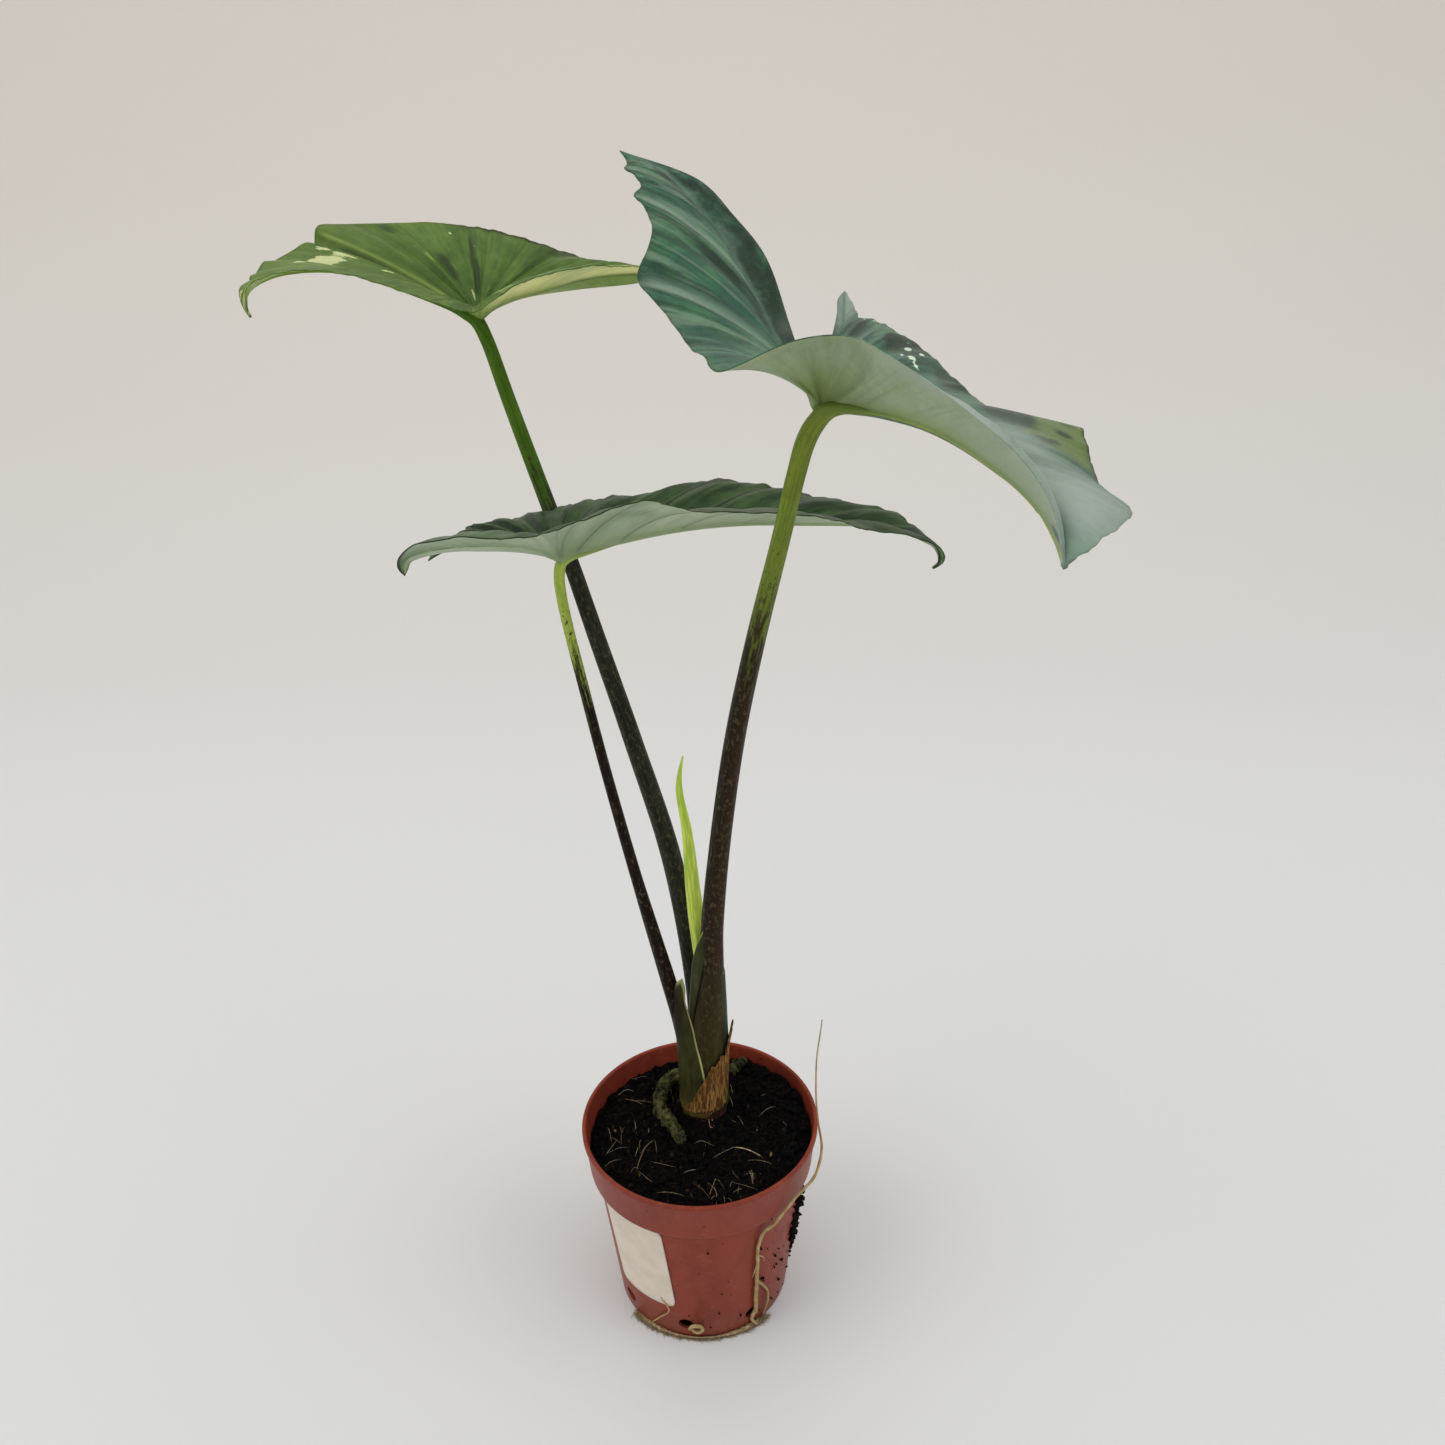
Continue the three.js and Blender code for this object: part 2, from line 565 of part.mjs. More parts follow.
// Dry sheet round the foot of the front stalk, taller at its right end, with a torn upper edge
function paperGeometry(extra = 0) {
  const points = [];
  const faces = [];
  const [cx, cy, straightTop] = FRONT_STALK.path[1];
  for (let i = 0; i <= PAPER_COLUMNS; i += 1) {
    const t = i / PAPER_COLUMNS;
    const angle = radians(THREE.MathUtils.lerp(PAPER_FROM, PAPER_TO, t));
    const torn = PAPER_TEAR * Math.sin(i * 2.4);
    const high = THREE.MathUtils.lerp(PAPER_LOW_TOP, PAPER_HIGH_TOP, t ** PAPER_RISE) + torn;
    for (let j = 0; j <= PAPER_LEVELS; j += 1) {
      const s = j / PAPER_LEVELS;
      const radius = PAPER_RADIUS + PAPER_PLEAT * Math.sin(i * 1.7) + PAPER_FLARE * s * s * t;
      const z = THREE.MathUtils.lerp(PAPER_FOOT - extra, high, s);
      const lean = Math.max(z - straightTop, 0) * PAPER_LEAN;
      points.push(new THREE.Vector3(cx + lean + radius * Math.cos(angle), cy + radius * Math.sin(angle), z));
    }
  }
  for (let i = 0; i < PAPER_COLUMNS; i += 1) {
    for (let j = 0; j < PAPER_LEVELS; j += 1) {
      const a = i * (PAPER_LEVELS + 1) + j;
      const b = a + PAPER_LEVELS + 1;
      faces.push([a, b, b + 1], [a, b + 1, a + 1]);
    }
  }
  const half = points.map(() => PAPER_THICKNESS / 2 + extra);
  return sheet(points, faces, half, half);
}

// Lumpy roll of fine roots along the foot of the pot
function matGeometry() {
  const path = [];
  const radius = FOOT_RADIUS + MAT_RADIUS + 3 * GAP;
  for (let i = 0; i <= MAT_POINTS; i += 1) {
    const angle = radians(THREE.MathUtils.lerp(MAT_FROM, MAT_TO, i / MAT_POINTS));
    path.push([radius * Math.cos(angle), radius * Math.sin(angle), MAT_RADIUS + 2 * GAP]);
  }
  const shape = { steps: FINE_STEPS, sides: FINE_SIDES, path, radii: MAT_RADII };
  return stem(shape, 0, (t) => 0.2 * Math.sin(t * 130));
}

// Thin root that climbs the outside of the pot and ends free above its rim
function climbingRootGeometry() {
  const path = CLIMBING_ROOT.map(([angle, z, off], i) => {
    const width = sampled(CLIMBING_ROOT_RADII, i / (CLIMBING_ROOT.length - 1));
    const radius = potRadius(z) + width + GAP + WALL_ROOM + off;
    return [radius * Math.cos(radians(angle)), radius * Math.sin(radians(angle)), z];
  });
  return stem({ steps: FINE_STEPS, sides: FINE_SIDES, path, radii: CLIMBING_ROOT_RADII });
}

const group = new THREE.Group();

// Adds a named piece with its own material
function add(name, geometry, colour, roughness) {
  const material = new THREE.MeshStandardMaterial({ color: colour, roughness, metalness: 0 });
  const mesh = new THREE.Mesh(geometry, material);
  mesh.name = name;
  group.add(mesh);
}

const blades = [FRONT_LEAF, TALL_LEAF, LOW_LEAF];
const blocks = blades.map((leaf) => bladeRoom(leaf));

// Everything that stands in the soil, wider by the clearance
const stems = [
  stem(FRONT_STALK, GAP, sheathRidges),
  stem(TALL_STALK, GAP),
  stem(LOW_STALK, GAP),
  stem(MOSSY_ROOT, GAP),
  stem(MOSSY_NUB, GAP),
  paperGeometry(GAP),
].map(solid);

add('pot', potGeometry(), COLOURS.potClay, 0.45);
add('soil', soilGeometry(stems), COLOURS.soilBlack, 0.95);
add('label', labelGeometry(), COLOURS.labelWhite, 0.5);

// Each stalk, cut back by what it touches
const youngRoom = solid(stem(NEW_LEAF, GAP));
const [frontRoom, tallRoom, lowRoom] = stems;
const front = solid(stem(FRONT_STALK, 0, sheathRidges))
  .subtract(blocks[0])
  .subtract(youngRoom)
  .subtract(tallRoom)
  .subtract(lowRoom);
const tall = solid(stem(TALL_STALK)).subtract(blocks[1]).subtract(youngRoom);
const low = solid(stem(LOW_STALK)).subtract(blocks[2]);
add('front_stalk', largest(front), COLOURS.stalkOlive, 0.5);
add('tall_stalk', largest(tall), COLOURS.stalkBrown, 0.5);
add('low_stalk', largest(low), COLOURS.stalkBrown, 0.5);

add('front_blade', bladeGeometry(FRONT_LEAF), COLOURS.bladeGreen, 0.45);
add('tall_blade', bladeGeometry(TALL_LEAF), COLOURS.bladeOlive, 0.45);
add('low_blade', bladeGeometry(LOW_LEAF), COLOURS.bladeGreen, 0.45);

add('new_leaf', stem(NEW_LEAF), COLOURS.youngGreen, 0.45);
const paper = solid(paperGeometry()).subtract(frontRoom).subtract(lowRoom);
add('papery_sheath', largest(paper), COLOURS.paperBrown, 0.8);
add('mossy_root', stem(MOSSY_ROOT), COLOURS.mossGreen, 0.95);
add('mossy_nub', stem(MOSSY_NUB), COLOURS.mossGreen, 0.95);
add('outside_root', climbingRootGeometry(), COLOURS.rootBeige, 0.8);
add('root_mat', matGeometry(), COLOURS.rootBeige, 0.95);

export default group;
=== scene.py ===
"""Dresses the potted variegated alocasia: leaves, stalks, soil, pot, roots and the studio round them."""

import math

import bpy
import numpy as np
from bpy.props import FloatProperty, FloatVectorProperty, IntProperty, PointerProperty
from mathutils import Matrix, Vector


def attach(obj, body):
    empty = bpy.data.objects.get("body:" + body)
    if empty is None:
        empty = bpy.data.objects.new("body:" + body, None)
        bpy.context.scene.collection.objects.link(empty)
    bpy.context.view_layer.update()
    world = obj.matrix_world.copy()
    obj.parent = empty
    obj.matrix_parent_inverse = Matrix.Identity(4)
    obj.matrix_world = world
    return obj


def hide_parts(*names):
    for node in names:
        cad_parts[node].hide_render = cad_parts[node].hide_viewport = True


bl_info = {
    "name": "Potted variegated alocasia",
    "version": (1, 0, 0),
    "blender": (4, 5, 0),
    "location": "View3D > Sidebar > Alocasia",
    "description": "Fine leaves, stalks, soil and pot for the alocasia's frame",
    "category": "Object",
}

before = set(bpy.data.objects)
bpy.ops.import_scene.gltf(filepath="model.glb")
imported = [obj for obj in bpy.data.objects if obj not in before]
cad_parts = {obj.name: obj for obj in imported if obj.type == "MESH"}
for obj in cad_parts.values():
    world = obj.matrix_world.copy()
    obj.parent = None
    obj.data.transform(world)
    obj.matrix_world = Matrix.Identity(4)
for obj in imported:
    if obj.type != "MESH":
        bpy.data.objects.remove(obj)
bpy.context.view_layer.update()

MM = 0.001

# Sizes shared by several pieces, in millimetres
POT_HEIGHT = 110.0
RIM_RADIUS = 60.0
COLLAR_HEIGHT = 24.0
COLLAR_FOOT_RADIUS = 57.0
WALL_TOP_RADIUS = 54.0
FOOT_RADIUS = 44.5
WALL = 1.6
SOIL_TOP = 101.0
COLLAR_FOOT = POT_HEIGHT - COLLAR_HEIGHT
COLLAR_SLOPE = (RIM_RADIUS - COLLAR_FOOT_RADIUS) / COLLAR_HEIGHT
STEM_X, STEM_Y = 3.0, 14.5
STEM_CLEARANCE = 12

# Thickness and relief of a blade in millimetres: half its thickness, the half width of the rib's bell, the
# grooves above a rib and a vein, the ridge below a vein, and the swelling round the stalk with its reach
HALF_THICKNESS = 0.4
RIB_WIDTH = 1.5
RIB_GROOVE = 0.2
VEIN_GROOVE = 0.16
VEIN_RIDGE = 0.35
STALK_SWELL = 1.6
STALK_REACH = 5

# Each half has a side vein at every station; its root is 1 at the leaf tip, 0 at the stalk, -1 at a lobe's tip. The
# strip along the cleft has fewer columns than a half
STATIONS = 14
STRIP_COLUMNS = 10
WAYS = {"right": 1.0, "left": -1.0}

# The shader's own measure of a blade: this much per station along it and from rib to edge across it. Each
# surface has a lane of its own, so that no two have the same noise
LIE_PER_STATION = 1.6
LIE_ACROSS = 1.2
HALF_LANE = 7.3
STRIP_LANE = 14.6

# Patches of colour that a blade carries, in the order in which its corners hold them
TONES = ("cream", "pale", "dark", "wash")

# Each leaf's points are [across, along, up] from the stalk: along the heading, across to its right. Marks are the
# stations of the edge's points, even where there are none. Scallops, quilting and camber are depths in
# millimetres, ripples a height and the first and last station, fold shades the strength at each station of a
# band of painted shade beside the vein, and the flush of green round the stalk a reach in millimetres
FRONT_LEAF = {
    "stalk": (48, -88, 501),
    "heading": 160,
    "camber": 4,
    "quilt": {"right": 0.6, "left": 0.7},
    "scallop": {"right": 0, "left": 0.1},
    "ripples": {"right": (0.2, 8, 14), "left": (0.3, 0, 14)},
    "folds": {"right": [0, 0, 0, 0, 0, 0, 0, 0, 0, 0, 0.9, 0, 0.8, 0.5, 0]},
    "spine": [[0, 0, 0], [-4, 35, 6], [-7, 62, 8], [-6, 92, 8], [0, 127, 8], [9, 152, 8], [16, 167, 8]],
    "right": {
        "rib": [[0, 0, 0], [5, -18, 13], [6, -49, 30], [7, -70, 41], [11, -90, 52], [17, -108, 61], [27, -126, 67]],
        "marks": [0, 1, 2, 3, 4, 5, 6, 7, 8, 8.5, 9, 9.5, 10, 10.5, 11, 11.5, 12, 12.4, 12.7, 13, 13.4, 14],
        "edge": [[16, 167, 8], [13, 155, 18], [12, 140, 24], [11, 120, 27], [10, 98, 29], [13, 73, 33],
                 [11, 42, 32], [27, 38, 31], [45.1, 30, 22.6], [46.6, 18, 24.5], [45.8, 2, 24.2],
                 [44.7, -22, 28.9], [46.3, -46, 35.4], [39.9, -54, 43.9], [36.4, -60, 48.9], [34.2, -73, 53.5],
                 [34.9, -84, 56.8], [29.8, -92, 58.3], [30, -99, 61.8], [31.6, -106, 62.9], [27.7, -115, 63.8],
                 [27, -126, 67]],
        "inner": [[0, -6, 0], [-4, -36, 18], [-7.4, -68, 36.4], [-2.6, -86, 47.6], [4.2, -101.6, 57.8], [27, -126, 67]],
    },
    "left": {
        "rib": [[0, 0, 0], [-13, -24, 1], [-29, -52, 4], [-44, -79, 8], [-55, -102, 14]],
        "edge": [[16, 167, 8], [10.5, 167, 11], [3, 163, 12], [-12, 148.5, 7.8], [-27, 131.2, 2.9], [-34, 116, 0],
                 [-39, 101.6, -1.5], [-45.5, 87, -1], [-52, 75, 0], [-59, 62, 1], [-65.5, 50, 0.5], [-64, 40, -3],
                 [-62, 30, -6.5], [-62, 19.5, -7], [-62, 8, -6], [-63, -6.5, -5], [-64, -22, -4],
                 [-64.5, -36, -2], [-64, -49, 1], [-61.5, -62, 4], [-59, -73, 6], [-57, -78, 7], [-56, -81, 7],
                 [-55, -84, 6.5], [-55, -87, 6], [-55.5, -91, 7], [-56, -95, 9], [-55.5, -98.5, 11.5],
                 [-55, -102, 14]],
        "inner": [[0, -6, 0], [-14, -29, 3], [-29, -57, 6], [-44.2, -85, 10.1], [-48, -93, 12.8], [-52.2, -99, 13.5],
                  [-55, -102, 14]],
    },
    "flush": 18,
}

TALL_LEAF = {
    "stalk": (-83, 47, 504),
    "heading": -103,
    "camber": 2.5,
    "quilt": {"right": 1.6, "left": 0.4},
    "folds": {"right": [0, 0, 0, 0.8, 0, 0, 0, 0.3, 0, 0.3, 0, 0.3, 0, 0, 0]},
    "scallop": {"right": 0.05, "left": 0},
    "ripples": {"right": (0.3, 6, 14), "left": (0.15, 0, 14)},
    "spine": [[0, 0, 0], [0, 10, 5], [-1, 29, 13], [-3, 48, 20], [-6, 67, 22], [-9, 79, 20.5], [-12, 87, 16.4],
              [-14, 88.8, 11.4], [-15, 87.5, 7]],
    "right": {
        "rib": [[0, 0, 0], [6, -6, 5], [12, -15, 8], [18, -27, 10], [25, -46, 11], [31, -67, 9], [33, -86, 4]],
        "marks": [0, 0.25, 0.5, 0.7, 0.85, 1, 1.1, 1.2, 1.3, 1.4, 1.6, 1.85, 1.95, 2.05, 2.2, 2.4, 2.6, 2.75, 2.85,
                  2.92, 2.96, 3, 3.05, 3.2, 3.5, 4, 5, 5.5, 6, 7, 8, 9, 10, 11, 12, 13, 14],
        "edge": [[-15, 87.5, 7], [-13, 89.6, 10.8], [-12, 90.4, 14.8], [-9, 90.1, 16.8], [-6, 89.1, 17.6],
                 [-4, 87.9, 16.2], [-2, 87, 16], [-1, 86.5, 19], [1, 86.1, 19.7], [2, 85.2, 18.6],
                 [4, 83.7, 20.6], [8, 80.9, 23.6], [9, 79.5, 22.4], [11, 77.7, 22.3], [13, 76.3, 23.3],
                 [16, 72.9, 24.5], [19, 68.9, 26.1], [22, 65.6, 27.6], [23.5, 62.9, 27.6], [24, 61.4, 26.2],
                 [25, 61, 28.3], [26, 60.4, 31.6], [27, 59, 33.4], [28.5, 56.2, 33.6], [31.5, 49.6, 32.9],
                 [35, 42, 32.2], [37.5, 24.2, 31.4], [38, 13.9, 31.1], [38, 0, 29], [38, -11, 27],
                 [38, -27, 22], [45, -43, 15], [47, -59, 9.5], [44, -68, 8.5], [41, -76, 7], [38, -82, 6],
                 [33, -86, 4]],
        "inner": [[0, -5, 1], [5, -21, 8], [17, -46, 11], [26, -68, 8], [33, -86, 4]],
    },
    "left": {
        "rib": [[0, 0, 0], [-5, -5, 3], [-9, -11, 7], [-16, -25, 11], [-22, -41, 16], [-28, -60, 18],
                [-32, -75, 17]],
        "marks": [0, 1, 2, 3, 4, 5, 6, 6.5, 7, 7.3, 7.6, 8, 9, 10, 11, 12, 13, 14],
        "edge": [[-15, 87.5, 7], [-19, 87, 18], [-22, 79, 23], [-30, 65, 26], [-37, 48.1, 24.6],
                 [-41, 32.1, 19.4], [-42, 17, 13.4], [-42.5, 9.9, 10.6], [-42.5, 4, 9.6], [-42, -0.8, 11.4],
                 [-42, -5.6, 14.5], [-42, -13.1, 18.5], [-47, -24, 22.6], [-48, -41, 25], [-46, -49, 24],
                 [-43, -58, 23], [-38, -67, 21], [-32, -75, 17]],
        "inner": [[0, -5, 1], [-4, -18, 6], [-13, -39, 10], [-23, -62, 13], [-32, -75, 17]],
    },
    "flush": 9,
}

LOW_LEAF = {
    "stalk": (-48, -24, 426),
    "heading": 90,
    "camber": 3,
    "quilt": {"right": 1.3, "left": 2.6},
    "folds": {"left": [0, 0.8, 0.9, 0.9, 1, 1, 1, 1, 1, 1, 0.9, 0.8, 0.6, 0.3, 0]},
    "scallop": {"right": 0, "left": 0.35},
    "ripples": {"right": (0.2, 1, 9), "left": (0.6, 1, 13)},
    "spine": [[0, 0, 0], [-3, 24, 5], [-4, 47, 9], [-4, 71, 11], [-3, 92, 11], [-1, 119, 10.5], [3, 133, 9],
              [7, 141, 6.9], [9.5, 145.9, 4.5], [10, 147.7, 1.8], [10.5, 147, -0.9], [11, 144.2, -3.5]],
    "right": {
        "rib": [[0, 0, 0], [8, -11, 7], [13, -21, 10], [20, -33, 12.4], [25, -43.2, 13], [27, -48.9, 12.3],
                [27.5, -53, 10.6], [27, -55.2, 7.2], [26, -55.2, 2.9]],
        "marks": [0, 0.25, 0.5, 0.7, 0.85, 1, 1.3, 1.6, 2, 3, 4, 5, 6, 7, 8, 9, 10, 10.7, 11.3, 12, 12.4, 12.8,
                  13.1, 13.4, 13.7, 14],
        "edge": [[11, 144.2, -3.5], [12.5, 145.6, -0.9], [13.5, 145.9, 2.8], [13.5, 144.8, 6.1],
                 [14, 142.6, 8.1], [15, 139.3, 9.9], [17, 134.8, 11.9], [19.5, 128.3, 14.6], [22, 118, 16.5],
                 [24, 103, 22], [31, 82, 27], [36, 54, 30], [27, 35, 31], [41, 14, 29], [45, -2, 25],
                 [48, -17.1, 25.1], [46, -28.8, 25.3], [44, -34.6, 23.7], [41, -41.8, 21.6], [38, -46.9, 19.8],
                 [36, -50.2, 17.5], [33.5, -53.2, 14.5], [31, -55.6, 11.2], [29, -56.6, 7.8], [27.5, -56.2, 5.1],
                 [26, -55.2, 2.9]],
        "inner": [[0, -5, 0], [1.5, -18, 2.5], [4, -30.1, 3.9], [10, -39.8, 6.2], [15, -45.8, 7], [19, -50.6, 7.1],
                  [22, -53.2, 6.7], [24.5, -54.2, 4.5], [26, -55.2, 2.9]],
    },
    "left": {
        "rib": [[0, 0, 0], [-13, -11, 0], [-21, -27, -1], [-26, -41, -3], [-27, -52, -7], [-25, -57, -11]],
        "marks": [0, 0.2, 0.35, 0.5, 0.65, 0.8, 0.9, 1, 1.35, 1.65, 2, 3, 4, 5, 6, 7, 8, 9, 10, 11, 12, 13, 14],
        "edge": [[11, 144.2, -3.5], [9, 147.1, -2.9], [8, 148.8, -2], [7.5, 149.4, 0], [7, 148.1, 2.5],
                 [6, 144.9, 5.5], [3, 142.1, 6.6], [-3, 139.7, 7.8], [-9, 136.1, 9.2], [-14, 133.1, 10],
                 [-17, 129.9, 10.2], [-34, 106, 10], [-44, 84, 12], [-45, 60, 15],
                 [-42, 38, 11], [-46, 14, 7.5], [-52, -2, 2], [-52, -25, -3], [-49, -41, -5], [-47, -46, -7],
                 [-43, -51, -9], [-36, -55, -10], [-25, -57, -11]],
        "inner": [[0, -5, 0], [-8, -19, 1], [-14, -35, -1], [-20, -48, -5], [-25, -57, -11]],
    },
    "flush": 9,
}

# Stems: points along the middle line in millimetres, and radii at those points or, where there is another number
# of them, at even steps. The leaf stalks run on into the midribs under the blades
FRONT_STALK = {
    "path": [[4.5, 15, 90], [4.5, 15, 114], [5, 14, 150], [6, 12.5, 173], [7, 11, 196], [8, 9, 221],
             [12.2, 1, 272], [19.5, -14, 337], [28, -34, 393], [36.4, -61, 445], [40.8, -76, 474],
             [43.6, -82.6, 488], [46.5, -87.2, 495.4], [49.8, -92.6, 500.6], [53.8, -99.8, 503.3],
             [60, -112, 505.7], [66.5, -124.5, 507.6]],
    "radii": [8.6, 9.4, 9.0, 7.8, 6.4, 5.5, 4.85, 4.4, 3.95, 3.45, 3.3, 3.4, 3.3, 2.9, 1.9, 1.2, 0.4],
}
TALL_STALK = {
    "path": [[0, 26, 88], [0, 26, 139], [-1, 28, 173], [-10.8, 32, 246], [-27.5, 36, 311], [-41.4, 39, 361],
             [-51.7, 42, 398], [-60.2, 44, 425], [-73, 45, 469], [-80.2, 46.5, 494], [-83.6, 46.6, 501.5],
             [-87.8, 45.8, 504.8], [-92.7, 44.7, 507.8], [-111, 39.5, 516.2], [-129, 33.3, 523.6]],
    "radii": [5.3, 5.3, 5.22, 4.89, 4.36, 3.92, 3.58, 3.3, 2.98, 2.8, 2.9, 2.5, 2.0, 1.3, 0.6],
}
LOW_STALK = {
    "path": [[-5, 13, 87], [-5, 13, 113], [-5.5, 13.5, 138], [-9.2, 14, 164], [-14, 14, 187], [-26.5, 8, 251],
             [-37.4, 0, 315], [-43.6, -8, 359], [-47.5, -15, 390], [-49, -20, 408], [-48.8, -23, 418],
             [-47.2, -24, 423.5], [-43.5, -23.8, 425.6], [-38, -23, 426.8], [-24, -21, 430.2], [-1, -20, 434.7]],
    "radii": [4.2, 4.2, 4.2, 4.0, 3.75, 2.7, 2.35, 2.2, 2.15, 2.15, 2.2, 2.2, 1.8, 1.3, 0.8, 0.3],
}
NEW_LEAF = {
    "path": [[3, 20, 186], [1, 19, 214], [-1, 19, 240], [-3, 19, 272], [-6, 19, 294], [-5.4, 19, 303],
             [-3.8, 19, 311.5]],
    "radii": [3.0, 3.5, 3.7, 3.3, 2.8, 2.2, 1.5, 0.3],
}
STEM_FOOT = {
    "path": [[STEM_X, STEM_Y, 97], [STEM_X, STEM_Y, 103], [STEM_X, STEM_Y, 110]],
    "radii": [9.6, 10.4, 10.9, 10.2],
}
MOSSY_ROOT = {
    "path": [[-13, 40, 96], [-13.5, 38, 104], [-17.5, 33, 104.5], [-21.3, 22, 103.4], [-20.4, 12, 102.8],
             [-15.8, 4, 102.8], [-11, -4, 101.3], [-9, -7, 95]],
    "radii": [2.8, 3.0, 3.2, 3.3, 3.4, 3.3, 2.7, 1.8],
}
MOSSY_NUB = {
    "path": [[17, 43, 94], [18, 44, 103], [21, 45, 106], [25, 46, 107]],
    "radii": [2.6, 2.8, 2.6, 1.6],
}
# Root that climbs the pot: angle in degrees, height, distance off the wall
CLIMBING_ROOT = [[-55, 12, 0], [-56, 28, 0], [-57, 50, 0], [-57.5, 68, 0], [-55, 78, 0.6], [-51.5, 83, 3.4],
                 [-47, 87, 0.5], [-39, 92, 1], [-27, 97, 4], [-10, 99, 3], [4, 103, 0.8], [13, 111, 1],
                 [22, 125, 5], [28, 144, 12]]
CLIMBING_ROOT_RADII = [1.05, 1.0, 0.9, 0.85, 0.8, 0.7, 0.5, 0.42, 0.3]

# Amounts of moss tufts and felt hairs, the felt's arc in degrees, and the amounts of grains on the pot's wall:
# scattered, in the clump and small
TUFTS, HAIRS = 700, 2400
FELT_ARC = (-143, -46)
GRAINS, CLUMP_GRAINS, SMALL_GRAINS = 150, 90, 26


def hex_colour(code):
    """Linear red, green and blue of an sRGB colour written as six hexadecimal digits."""
    parts = [int(code[i:i + 2], 16) / 255 for i in (0, 2, 4)]
    return tuple(c / 12.92 if c <= 0.04045 else ((c + 0.055) / 1.055) ** 2.4 for c in parts)


def rgba(colour):
    """Colour with full opacity, from six hexadecimal digits or three linear numbers."""
    return (*(hex_colour(colour) if isinstance(colour, str) else colour), 1.0)


def colour_setting(name, code, description):
    """Colour that the user can change, with its default in hexadecimal digits."""
    return FloatVectorProperty(name=name, description=description, subtype="COLOR", size=3,
                               min=0, max=1, default=hex_colour(code))


class LeafSettings(bpy.types.PropertyGroup):
    """Sizes and colours of the leaf blades."""

    rows: IntProperty(name="Rows per vein", description="Grid rows between two side veins", default=16, min=4, max=24)
    columns: IntProperty(name="Columns", description="Grid columns from rib to edge", default=40, min=8, max=60)
    front_upper: colour_setting("Front leaf above", "31594a", "Dark blue-green of the front leaf's upper side")
    front_under: colour_setting("Front leaf below", "98a982", "Pale grey-green of the front leaf's underside")
    tall_upper: colour_setting("Tall leaf above", "4f6a2c", "Mid green of the tall leaf's upper side")
    tall_under: colour_setting("Tall leaf below", "8ba652", "Yellow-green of the tall leaf's underside")
    low_upper: colour_setting("Low leaf above", "2d4425", "Dark green of the low leaf's upper side")
    low_under: colour_setting("Low leaf below", "9fb193", "Pale grey-green of the low leaf's underside")


class StalkSettings(bpy.types.PropertyGroup):
    """Sizes and colours of the leaf stalks and their sheaths."""

    sides: IntProperty(name="Sides", description="Sides of a stalk", default=40, min=12, max=64)
    front: colour_setting("Front stalk", "2b2515", "Dark olive of the front stalk's lower part")
    tall: colour_setting("Tall stalk", "323327", "Dark green of the tall stalk's lower part")
    low: colour_setting("Low stalk", "1d130d", "Purple-black of the low stalk's lower part")


class PotSettings(bpy.types.PropertyGroup):
    """Sizes and colours of the pot and its sticker."""

    plastic: colour_setting("Plastic", "8e3b29", "Brick red of the pot's plastic")
    sticker: colour_setting("Sticker", "e7d9c9", "White of the blank sticker")
    sides: IntProperty(name="Sides", description="Sides of the pot", default=192, min=48, max=256)


class SoilSettings(bpy.types.PropertyGroup):
    """Amounts and colours of the soil, its crumbs and the roots."""

    soil: colour_setting("Soil", "0f0c0b", "Black-brown of the damp peat")
    fibre: colour_setting("Fibre", "c9b593", "Pale tan of the fine fibres")
    root: colour_setting("Root", "c2a87c", "Tan of the living roots")
    moss: colour_setting("Moss", "1c1b12", "Green of the moss")
    crumbs: IntProperty(name="Crumbs", description="Crumbs on the soil", default=3400, min=0, max=4000)
    fibres: IntProperty(name="Fibres", description="Dark fibres on the soil", default=800, min=0, max=1500)


class StageSettings(bpy.types.PropertyGroup):
    """Brightness and colour of the studio."""

    floor: colour_setting("Floor", "e4e3e1", "Cool pale floor")
    wall: colour_setting("Wall", "ded6ca", "Warm pale wall")
    light: FloatProperty(name="Light", description="Strength of the main lamp in watts", default=11.0, min=0)
    sky: FloatProperty(name="Sky", description="Strength of the light from all round", default=0.64, min=0)


# Shapes


def unit(vectors):
    """Vectors of length one; a zero vector stays zero."""
    length = np.linalg.norm(vectors, axis=-1, keepdims=True)
    return vectors / np.where(length < 1e-9, 1.0, length)


def smooth(low, high, x):
    """Smooth step: 0 below low, 1 above high, and 3s^2 - 2s^3 between."""
    s = np.clip((np.asarray(x, float) - low) / (high - low), 0, 1)
    return s * s * (3 - 2 * s)


def curve(points, even=False):
    """Catmull-Rom curve through points as a function of t from 0 to 1; chords' square roots space the knots
    unless even is set, and a mirrored point is added past each end."""
    known = np.asarray(points, float)
    padded = np.vstack([2 * known[0] - known[1], known, 2 * known[-1] - known[-2]])

    def at(t):
        """Points of the curve: a cubic between two known points that keeps the slope at each."""
        x = np.clip(np.atleast_1d(t), 0, 1) * (len(known) - 1)
        i = np.minimum(x.astype(int), len(known) - 2)
        f = (x - i)[:, None]
        a, b, c, d = padded[i], padded[i + 1], padded[i + 2], padded[i + 3]
        if even:
            start, end = 0.5 * (c - a), 0.5 * (d - b)
        else:
            gaps = [np.sqrt(np.linalg.norm(q - p, axis=1, keepdims=True)) for p, q in ((a, b), (b, c), (c, d))]
            g0, g1, g2 = (np.maximum(g, 1e-4) for g in gaps)
            start = ((b - a) / g0 - (c - a) / (g0 + g1) + (c - b) / g1) * g1
            end = ((c - b) / g1 - (d - b) / (g1 + g2) + (d - c) / g2) * g1
        return b + f * start + f**2 * (3 * (c - b) - 2 * start - end) + f**3 * (2 * (b - c) + start + end)

    return at


